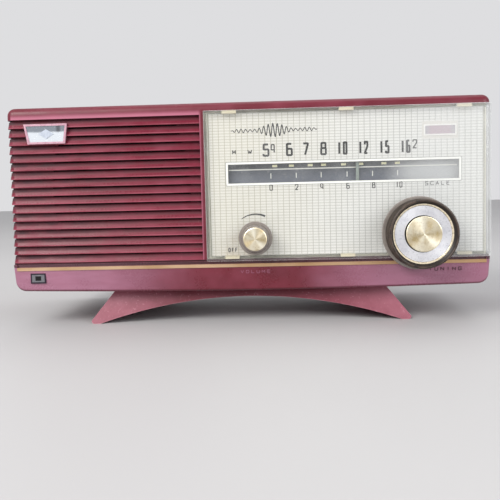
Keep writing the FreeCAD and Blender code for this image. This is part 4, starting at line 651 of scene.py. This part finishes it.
finishes = {
    "cabinet_plastic": shell_finish(),
    "stand_plastic": stand_finish(),
    "clear_lens": lens_finish(),
    "dial_print": panel_finish(),
    "dial_grey": slate_finish(),
    "gold_anodised": trim_finish(),
    "badge_rim": rim_finish(),
    "badge_mirror": mirror_finish(),
    "dark_metal": corner_plate_finish(),
    "knob_brown": knob_finish(),
    "smoke_plastic": smoke_finish(),
    "knob_cream": bezel_finish(),
    "spun_silver": spun_finish("spun_silver", tuning_axis, srgb(250, 250, 252), srgb(206, 206, 214),
                               0.6, 0.06),
    "pink_window": window_finish(),
    "indicator_rim": plastic("indicator_rim", srgb(222, 220, 217), srgb(234, 233, 231), 0.3, 0.004),
    "pointer_pale": plastic("pointer_pale", srgb(112, 122, 117), srgb(136, 146, 140), 0.4, 0.004),
    "grille_cloth": weave("grille_cloth", srgb(20, 8, 10), srgb(64, 34, 34), 0.0011),
    "baffle_board": board("baffle_board", srgb(70, 52, 38), srgb(112, 88, 64)),
    "speaker_steel": metal("speaker_steel", srgb(150, 152, 156), srgb(104, 100, 96), 0.45),
    "magnet": metal("magnet", srgb(92, 92, 96), srgb(62, 60, 60), 0.55),
    "cone_paper": board("cone_paper", srgb(36, 32, 32), srgb(70, 64, 60), 0.0009),
    "surround_cloth": weave("surround_cloth", srgb(30, 26, 26), srgb(66, 58, 54), 0.0009),
    "zinc_steel": metal("zinc_steel", srgb(196, 198, 200), srgb(150, 152, 150), 0.4),
    "screw_steel": metal("screw_steel", srgb(176, 172, 166), srgb(118, 108, 98), 0.38, 0.001),
    "valve_glass": glass("valve_glass", (0.9, 0.92, 0.93, 1), 0.5),
    "phenolic": plastic("phenolic", srgb(52, 30, 20), srgb(86, 52, 34), 0.45, 0.006),
    "can_aluminium": metal("can_aluminium", srgb(210, 212, 214), srgb(168, 170, 172), 0.34, 0.0016,
                           (1, 1, 0.1)),
    "transformer_iron": metal("transformer_iron", srgb(120, 112, 104), srgb(86, 74, 64), 0.6, 0.0009,
                              (0.1, 0.1, 1)),
    "ferrite": plastic("ferrite", srgb(26, 26, 28), srgb(52, 50, 52), 0.6, 0.003),
    "nylon_white": plastic("nylon_white", srgb(214, 208, 192), srgb(238, 234, 222), 0.45, 0.008),
    "cord_textile": weave("cord_textile", srgb(120, 96, 60), srgb(176, 150, 106), 0.0005),
    "spring_steel": metal("spring_steel", srgb(190, 190, 192), srgb(140, 138, 136), 0.3, 0.0008),
    "brass_plain": metal("brass_plain", srgb(206, 176, 112), srgb(150, 120, 70), 0.34, 0.0012),
    "lamp_glass": glass("lamp_glass", (0.95, 0.93, 0.88, 1), 0.25),
    "board_brown": board("board_brown", srgb(110, 70, 36), srgb(152, 104, 60), 0.0008),
    "cover_board": cover_finish(),
    "rubber_black": plastic("rubber_black", srgb(20, 20, 21), srgb(40, 38, 38), 0.7, 0.003),
}
brass_bright, brass_dull = srgb(255, 248, 226), srgb(198, 178, 134)
own_finishes = {
    "louvre_grille": louvre_finish(),
    "base_tray": tray_finish(),
    "badge_emblem": emblem_finish(),
    "tuning_knob_cap": spun_finish("spun_brass_large", tuning_axis, brass_bright, brass_dull, 0.85, 0.2),
    "volume_knob_cap": spun_finish("spun_brass_small", volume_axis, brass_bright, brass_dull, 0.85, 0.2),
}


def coat_nodes():
    """Gives every CAD node its finish, by the slot that the record names or by its own name."""
    for name, node in nodes.items():
        for material_slot in node.material_slots:
            slot_name = material_slot.material.name
            material_slot.material = own_finishes.get(name) or finishes[slot_name]


coat_nodes()


# ---- Raised and printed strokes ----

curve_steps = 4  # short straight pieces in a rounded corner
stroke_stagger = 0.002 * mm  # keeps the faces of crossing strokes apart
stagger_levels = 5
widest_mitre = 0.5  # the least cosine that a mitre is made for


def rounded(points, radius, closed):
    """A path whose corners are turned into short curves."""
    count = len(points)
    path = []
    for number, corner in enumerate(points):
        if not closed and number in (0, count - 1):
            path.append(corner)
            continue
        before = points[number - 1] - corner
        after = points[(number + 1) % count] - corner
        reach = min(radius, before.length * 0.48, after.length * 0.48)
        start = corner + before.normalized() * reach
        end = corner + after.normalized() * reach
        for step in range(curve_steps + 1):
            share = step / curve_steps
            path.append(start.lerp(corner, share).lerp(corner.lerp(end, share), share))
    return path


def side_offsets(path, closed):
    """For each point of a path, the mitred direction to its left."""
    offsets = []
    count = len(path)
    for number in range(count):
        before = path[number] - path[number - 1] if closed or number > 0 else None
        after = path[(number + 1) % count] - path[number] if closed or number < count - 1 else None
        first = (before or after).normalized()
        second = (after or before).normalized()
        along = (first + second).normalized()
        left = Vector((-along.y, along.x))
        square = Vector((-first.y, first.x))
        offsets.append(left / max(widest_mitre, left.dot(square)))
    return offsets


class Strokes:
    """A mesh of flat strokes, drawn in (across, up) metres and laid on a face."""

    def __init__(self, name, proud, lay):
        self.name = name
        self.proud = proud
        self.lay = lay
        self.points = []
        self.faces = []
        self.count = 0

    def stroke(self, points, widths, corner=0.0, closed=False):
        """Adds one solid stroke. Widths is one width, or one for each point."""
        path = rounded(points, corner, closed) if corner else list(points)
        if not isinstance(widths, list):
            widths = [widths] * len(path)
        offsets = side_offsets(path, closed)
        lift = self.proud + stroke_stagger * (self.count % stagger_levels)
        self.count += 1
        first = len(self.points)
        for point, offset, width in zip(path, offsets, widths):
            left = point + offset * (width / 2)
            right = point - offset * (width / 2)
            self.points += [self.lay(left, lift), self.lay(right, lift)]
            self.points += [self.lay(right, 0), self.lay(left, 0)]
        loops = len(path) if closed else len(path) - 1
        for number in range(loops):
            a = first + number * 4
            b = first + (number + 1) % len(path) * 4
            for side in range(4):
                nearer = (side + 1) % 4
                self.faces.append((a + side, a + nearer, b + nearer, b + side))
        if not closed:
            last = first + (len(path) - 1) * 4
            self.faces.append((first + 3, first + 2, first + 1, first))
            self.faces.append((last, last + 1, last + 2, last + 3))

    def build(self, material, body="cabinet"):
        """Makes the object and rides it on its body."""
        mesh = bpy.data.meshes.new(self.name)
        mesh.from_pydata(self.points, [], self.faces)
        mesh.materials.append(material)
        mesh.validate()
        made = bpy.data.objects.new(self.name, mesh)
        bpy.context.scene.collection.objects.link(made)
        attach(made, body)
        return made


# Plain glyphs in a unit square: each is a list of (closed, points)
glyphs = {
    "0": [(True, [(0, 0), (1, 0), (1, 1), (0, 1)])],
    "1": [(False, [(0.6, 1), (0.6, 0)])],
    "2": [(False, [(0, 0.76), (0, 1), (1, 1), (1, 0.6), (0, 0), (1, 0)])],
    "4": [(True, [(0.04, 0.34), (0.9, 0.34), (0.9, 1), (0.04, 1)]), (False, [(0.9, 0.34), (0.9, 0)])],
    "5": [(False, [(0.94, 1), (0.08, 1), (0.04, 0.56), (1, 0.56), (1, 0), (0, 0), (0, 0.16)])],
    "6": [(False, [(0.94, 1), (0, 1), (0, 0), (1, 0), (1, 0.56), (0.02, 0.56)])],
    "7": [(False, [(0, 1), (1, 1), (0.36, 0)])],
    "8": [(True, [(0.06, 0.54), (0.94, 0.54), (0.94, 1), (0.06, 1)]),
          (True, [(0, 0), (1, 0), (1, 0.54), (0, 0.54)])],
    "A": [(False, [(0, 0), (0.5, 1), (1, 0)]), (False, [(0.2, 0.34), (0.8, 0.34)])],
    "C": [(False, [(1, 0.8), (1, 1), (0, 1), (0, 0), (1, 0), (1, 0.2)])],
    "E": [(False, [(1, 1), (0, 1), (0, 0), (1, 0)]), (False, [(0, 0.52), (0.8, 0.52)])],
    "F": [(False, [(0, 0), (0, 1), (1, 1)]), (False, [(0, 0.5), (0.8, 0.5)])],
    "G": [(False, [(1, 0.8), (1, 1), (0, 1), (0, 0), (1, 0), (1, 0.46), (0.55, 0.46)])],
    "I": [(False, [(0.5, 0), (0.5, 1)])],
    "L": [(False, [(0, 1), (0, 0), (1, 0)])],
    "M": [(False, [(0, 0), (0, 1), (0.5, 0.3), (1, 1), (1, 0)])],
    "N": [(False, [(0, 0), (0, 1), (1, 0), (1, 1)])],
    "O": [(True, [(0, 0), (1, 0), (1, 1), (0, 1)])],
    "S": [(False, [(1, 0.84), (1, 1), (0, 1), (0, 0.52), (1, 0.52), (1, 0), (0, 0), (0, 0.16)])],
    "T": [(False, [(0, 1), (1, 1)]), (False, [(0.5, 1), (0.5, 0)])],
    "U": [(False, [(0, 1), (0, 0), (1, 0), (1, 1)])],
    "V": [(False, [(0, 1), (0.5, 0), (1, 1)])],
    "W": [(False, [(0, 1), (0.25, 0), (0.5, 0.7), (0.75, 0), (1, 1)])],
}


def write(strokes, text, left, bottom, width, height, stroke, gap=0.45):
    """Adds a word whose box starts at (left, bottom) and is width by height. Gap is a share of a letter."""
    letter = width / (len(text) + (len(text) - 1) * gap)
    for number, character in enumerate(text):
        x = left + number * letter * (1 + gap) + stroke / 2
        y = bottom + stroke / 2
        for closed, corners in glyphs[character]:
            points = [Vector((x + u * (letter - stroke), y + v * (height - stroke))) for u, v in corners]
            strokes.stroke(points, stroke, (letter - stroke) * 0.2, closed)


def on_panel(point, lift):
    """A place on the dial's face: across and up from the window's lower left corner."""
    return (window_low.x + point.x, panel_y - lift, window_low.z + point.y)


def on_backplate(point, lift):
    """A place on the plate behind the window."""
    return (window_low.x + point.x, backplate_low.y - lift, window_low.z + point.y)


def on_tray(point, lift):
    """A place on the tray's leaning face: across from the centre line, up from its underside."""
    share = 1 - point.y / tray_height
    return (point.x, front_y + tray_face_top + tray_face_lean * share - lift, underside_z + point.y)


black_ink = ink("dial_ink_black", srgb(10, 9, 9), 0.1)
white_ink = ink("dial_ink_white", srgb(214, 214, 208), 0.3)
yellow_ink = ink("dial_ink_yellow", srgb(255, 252, 208), 0.15)
border_ink = ink("dial_ink_border", srgb(244, 244, 240), 0.2)

# In millimetres across from the window's left end: (text, middle, width), then middles alone
wave_bands = (("5", 29.5, 5.4), ("6", 47.4, 5.2), ("7", 59.9, 5.2), ("8", 73.4, 5.0),
              ("10", 87.5, 8.2), ("12", 103.4, 8.0), ("15", 119.3, 8.0), ("16", 135.2, 7.8))
tick_places = (32.9, 52.5, 71.7, 91.6, 111.1, 130.2)
dash_places = (36.0, 48.9, 63.4, 73.6, 89.0, 102.1, 119.8, 130.1)


def volume_arc(strokes):
    """The tapering arc over the volume knob."""
    middle = Vector((volume_axis.x - window_low.x, volume_axis.z - window_low.z))
    radius = 18 * mm
    first_angle, sweep = -36.5, 61.5
    thin, swelling = 0.5 * mm, 1.1 * mm
    steps = 24
    points = []
    widths = []
    for step in range(steps + 1):
        share = step / steps
        angle = math.radians(first_angle + sweep * share)
        points.append(middle + radius * Vector((math.sin(angle), math.cos(angle))))
        widths.append(thin + swelling * share)
    strokes.stroke(points, widths)


def print_numerals():
    """Everything printed in black type on the dial."""
    numerals = Strokes("dial_numerals", ink_proud, on_panel)
    for text, middle, width in wave_bands:
        write(numerals, text, (middle - width / 2) * mm, 19.9 * mm, width * mm, 10.1 * mm, 1.55 * mm, 0.3)
    for text, left, bottom in (("4", 33.0, 22.5), ("2", 140.5, 23.2)):
        write(numerals, text, left * mm, bottom * mm, 3.6 * mm, 6.9 * mm, 0.95 * mm)
    for number, middle in enumerate(tick_places):
        text = str(number * 2)
        width = 2.6 * len(text)
        write(numerals, text, (middle - width / 2) * mm, -6.1 * mm, width * mm, 4.6 * mm, 0.65 * mm, 0.3)
    write(numerals, "SCALE", 149.8 * mm, -4.9 * mm, 18.6 * mm, 3.1 * mm, 0.55 * mm, 0.6)
    write(numerals, "M", 3.6 * mm, 22.2 * mm, 2.8 * mm, 3.5 * mm, 0.65 * mm)
    write(numerals, "W", 15.4 * mm, 22.2 * mm, 3.5 * mm, 3.5 * mm, 0.65 * mm)
    off_left = volume_axis.x - window_low.x - 21.5 * mm
    off_bottom = volume_axis.z - window_low.z - 11.0 * mm
    write(numerals, "OFF", off_left, off_bottom, 7.1 * mm, 3.4 * mm, 0.6 * mm, 0.5)
    volume_arc(numerals)
    numerals.build(black_ink)


def print_wave():
    """A plain modulated wave where the dial has its title."""
    left, length, height = 3.0 * mm, 66.0 * mm, 40.0 * mm
    amplitude = 5.0 * mm
    cycles, beats = 19, 2
    thin, swelling = 0.5 * mm, 0.32 * mm
    steps = 420
    wave = Strokes("dial_wave", ink_proud, on_panel)
    points = []
    widths = []
    for step in range(steps + 1):
        share = step / steps
        swell = math.sin(math.pi * share) ** 0.8 * (0.62 + 0.38 * math.cos(math.tau * beats * share))
        rise = amplitude * swell * math.sin(math.tau * cycles * share)
        points.append(Vector((left + length * share, height + rise)))
        widths.append(thin + swelling * swell)
    wave.stroke(points, widths)
    wave.build(black_ink)


def print_frame(name, margin, width, corner, material):
    """A line round the window, a margin outside it."""
    line = Strokes(name, ink_proud, on_panel)
    right, top = window_width + margin, window_height + margin
    corners = [(-margin, -margin), (right, -margin), (right, top), (-margin, top)]
    line.stroke([Vector(place) for place in corners], width, corner, True)
    line.build(material)


def print_scale():
    """The ticks, long line and yellow dashes on the plate behind the window."""
    marks = Strokes("scale_marks", ink_proud, on_backplate)
    tick_bottom, tick_top = 3.3, 7.3
    for place in tick_places:
        marks.stroke([Vector((place, tick_bottom)) * mm, Vector((place, tick_top)) * mm], 0.6 * mm)
    line_end = 0.4 * mm
    marks.stroke([Vector((line_end, scale_line)), Vector((window_width - line_end, scale_line))], 0.8 * mm)
    marks.build(white_ink)
    dashes = Strokes("scale_dashes", ink_proud, on_backplate)
    dash_half, dash_height = 1.9, 12.9
    for place in dash_places:
        ends = [Vector((place + side * dash_half, dash_height)) * mm for side in (-1, 1)]
        dashes.stroke(ends, 1.7 * mm)
    dashes.build(yellow_ink)


def mould_word(name, text, place, width, height, material):
    """A word in low relief on the tray's face."""
    word = Strokes(name, letter_proud, on_tray)
    write(word, text, place[0], place[1], width, height, 0.5 * mm, 0.6)
    word.build(material)


print_numerals()
print_wave()
print_frame("window_border", 0.75 * mm, 1.5 * mm, 0.6 * mm, border_ink)
grey_ink = ink("dial_ink_grey", srgb(150, 151, 146), 0.3)
print_frame("window_outline", 1.8 * mm, 0.45 * mm, 0.8 * mm, grey_ink)
print_scale()
letters = plastic("tray_letters", srgb(112, 52, 72), srgb(146, 88, 108), 0.35, 0.006)
dark_letters = plastic("tray_letters_dark", srgb(52, 16, 30), srgb(84, 34, 50), 0.35, 0.006)
mould_word("tray_words", "VOLUME", (volume_axis.x - 12.3 * mm, 10.3 * mm), 23.0 * mm, 2.6 * mm, letters)
mould_word("tray_word_tuning", "TUNING", (tuning_axis.x + 9.0 * mm, 9.6 * mm), 25.0 * mm, 2.8 * mm,
           dark_letters)


# ---- The large knob's diamonds ----

def knurled_knob():
    """The large knob again, with rows of pressed diamonds round its side."""
    diamonds_round = 104
    rows = 20
    groove = 0.55 * mm
    crest_radius = knob_radius - 0.02 * mm
    root_radius = knob_radius - groove
    chamfer = 0.7 * mm
    bore_radius = knob_radius - 9 * mm
    rim_inner, well_radius = 23.7 * mm, 22.0 * mm
    floor_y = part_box("tuning_knob_ring")[1].y
    back, face = knob_high.y, knob_low.y
    columns = diamonds_round * 2
    points = []
    faces = []

    def ring(y, *radii):
        """One ring of points. Radii are taken in turn along it."""
        for number in range(columns):
            angle = math.tau * number / columns
            radius = radii[number % len(radii)]
            across, up = radius * math.sin(angle), radius * math.cos(angle)
            points.append((tuning_axis.x + across, y, tuning_axis.z + up))

    ring(back, bore_radius)
    ring(back, root_radius - 0.25 * mm)
    first_row = len(points) // columns
    for row in range(rows + 1):
        y = back - chamfer + (face - back + 2 * chamfer) * row / rows
        crests = [crest_radius, root_radius] if row % 2 == 0 else [root_radius, crest_radius]
        ring(y, *(crests if 0 < row < rows else [root_radius]))
    ring(face + 0.3 * mm, root_radius - 0.1 * mm)
    ring(face + 0.06 * mm, root_radius - 0.5 * mm)
    ring(face, root_radius - 0.9 * mm)
    ring(face, rim_inner + 0.25 * mm)
    ring(face + 0.2 * mm, rim_inner)
    ring(floor_y, well_radius)
    ring(floor_y, bore_radius)
    for level in range(len(points) // columns - 1):
        for number in range(columns):
            a, b = level * columns + number, level * columns + (number + 1) % columns
            c, d = a + columns, b + columns
            row = level - first_row
            if not 0 <= row < rows:
                faces.append((a, b, d, c))
            elif (number + row) % 2 == 0:
                faces += [(a, b, c), (b, d, c)]
            else:
                faces += [(a, b, d), (a, d, c)]
    mesh = bpy.data.meshes.new("tuning_knob_knurled")
    mesh.from_pydata(points, [], faces)
    mesh.materials.append(finishes["knob_brown"])
    for polygon in mesh.polygons:
        polygon.use_smooth = len(polygon.vertices) == 4
    made = bpy.data.objects.new("tuning_knob_knurled", mesh)
    bpy.context.scene.collection.objects.link(made)
    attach(made, "tuning")
    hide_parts("tuning_knob")


knurled_knob()


# ---- Stage, light and camera ----

def floor():
    """A wide pale table top under the stand."""
    f = Finish("stage_floor")
    colour = f.mix(f.noise(0.5, 3), srgb(170, 169, 170), srgb(182, 181, 181))
    f.bump(f.noise(0.004, 3), 0.0001, 0.3)
    f.finish(colour, 0.55)
    reach = 6.0  # far enough to pass behind the radio as a plain horizon
    corners = [(-reach, -reach, 0), (reach, -reach, 0), (reach, reach, 0), (-reach, reach, 0)]
    mesh = bpy.data.meshes.new("floor")
    mesh.from_pydata(corners, [], [(0, 1, 2, 3)])
    mesh.materials.append(f.material)
    made = bpy.data.objects.new("floor", mesh)
    bpy.context.scene.collection.objects.link(made)


def area_light(name, place, target, size, power, colour=(1, 1, 1)):
    """A soft light aimed at a point. Size is in metres and power in watts."""
    data = bpy.data.lights.new(name, "AREA")
    data.shape = "RECTANGLE"
    data.size, data.size_y = size
    data.energy = power
    data.color = colour
    made = bpy.data.objects.new(name, data)
    made.location = place
    made.rotation_euler = (Vector(target) - Vector(place)).to_track_quat("-Z", "Y").to_euler()
    bpy.context.scene.collection.objects.link(made)


def studio():
    """A pale world and three soft lights."""
    world = bpy.data.worlds.new("studio")
    world.use_nodes = True
    background = world.node_tree.nodes["Background"]
    background.inputs["Color"].default_value = srgb(226, 226, 228)
    background.inputs["Strength"].default_value = 0.96
    bpy.context.scene.world = world
    area_light("key", (-1.1, -1.3, 1.25), (0, 0, 0.08), (1.1, 1.1), 42, (1.0, 0.985, 0.96))
    area_light("fill", (1.3, -1.2, 0.7), (0, 0, 0.08), (1.0, 1.0), 15, (0.95, 0.97, 1.0))
    area_light("top", (0.1, 0.3, 1.5), (0, 0, 0.1), (1.4, 0.9), 6)


def camera():
    """The camera in front of the radio, a little right of its middle and looking slightly down."""
    pan, tilt, roll = 2.212, -3.583, 1.387  # degrees
    distance = 428.9 * mm
    data = bpy.data.cameras.new("camera")
    data.lens = 40.32
    data.sensor_width = 36
    data.shift_y = -0.036
    made = bpy.data.objects.new("camera", data)
    bpy.context.scene.collection.objects.link(made)
    turn = Matrix.Rotation(math.radians(pan), 3, "Z")
    turn = turn @ Matrix.Rotation(math.radians(tilt), 3, "X")
    turn = turn @ Matrix.Rotation(math.radians(roll), 3, "Y")
    right, forward, up = turn.col[0], turn.col[1], turn.col[2]
    place = Vector((18.7 * mm, front_y - distance, underside_z + 69.2 * mm))
    made.matrix_world = Matrix((
        (right.x, up.x, -forward.x, place.x),
        (right.y, up.y, -forward.y, place.y),
        (right.z, up.z, -forward.z, place.z),
        (0, 0, 0, 1),
    ))
    bpy.context.scene.camera = made


floor()
studio()
camera()
bpy.context.scene.view_settings.view_transform = "Standard"
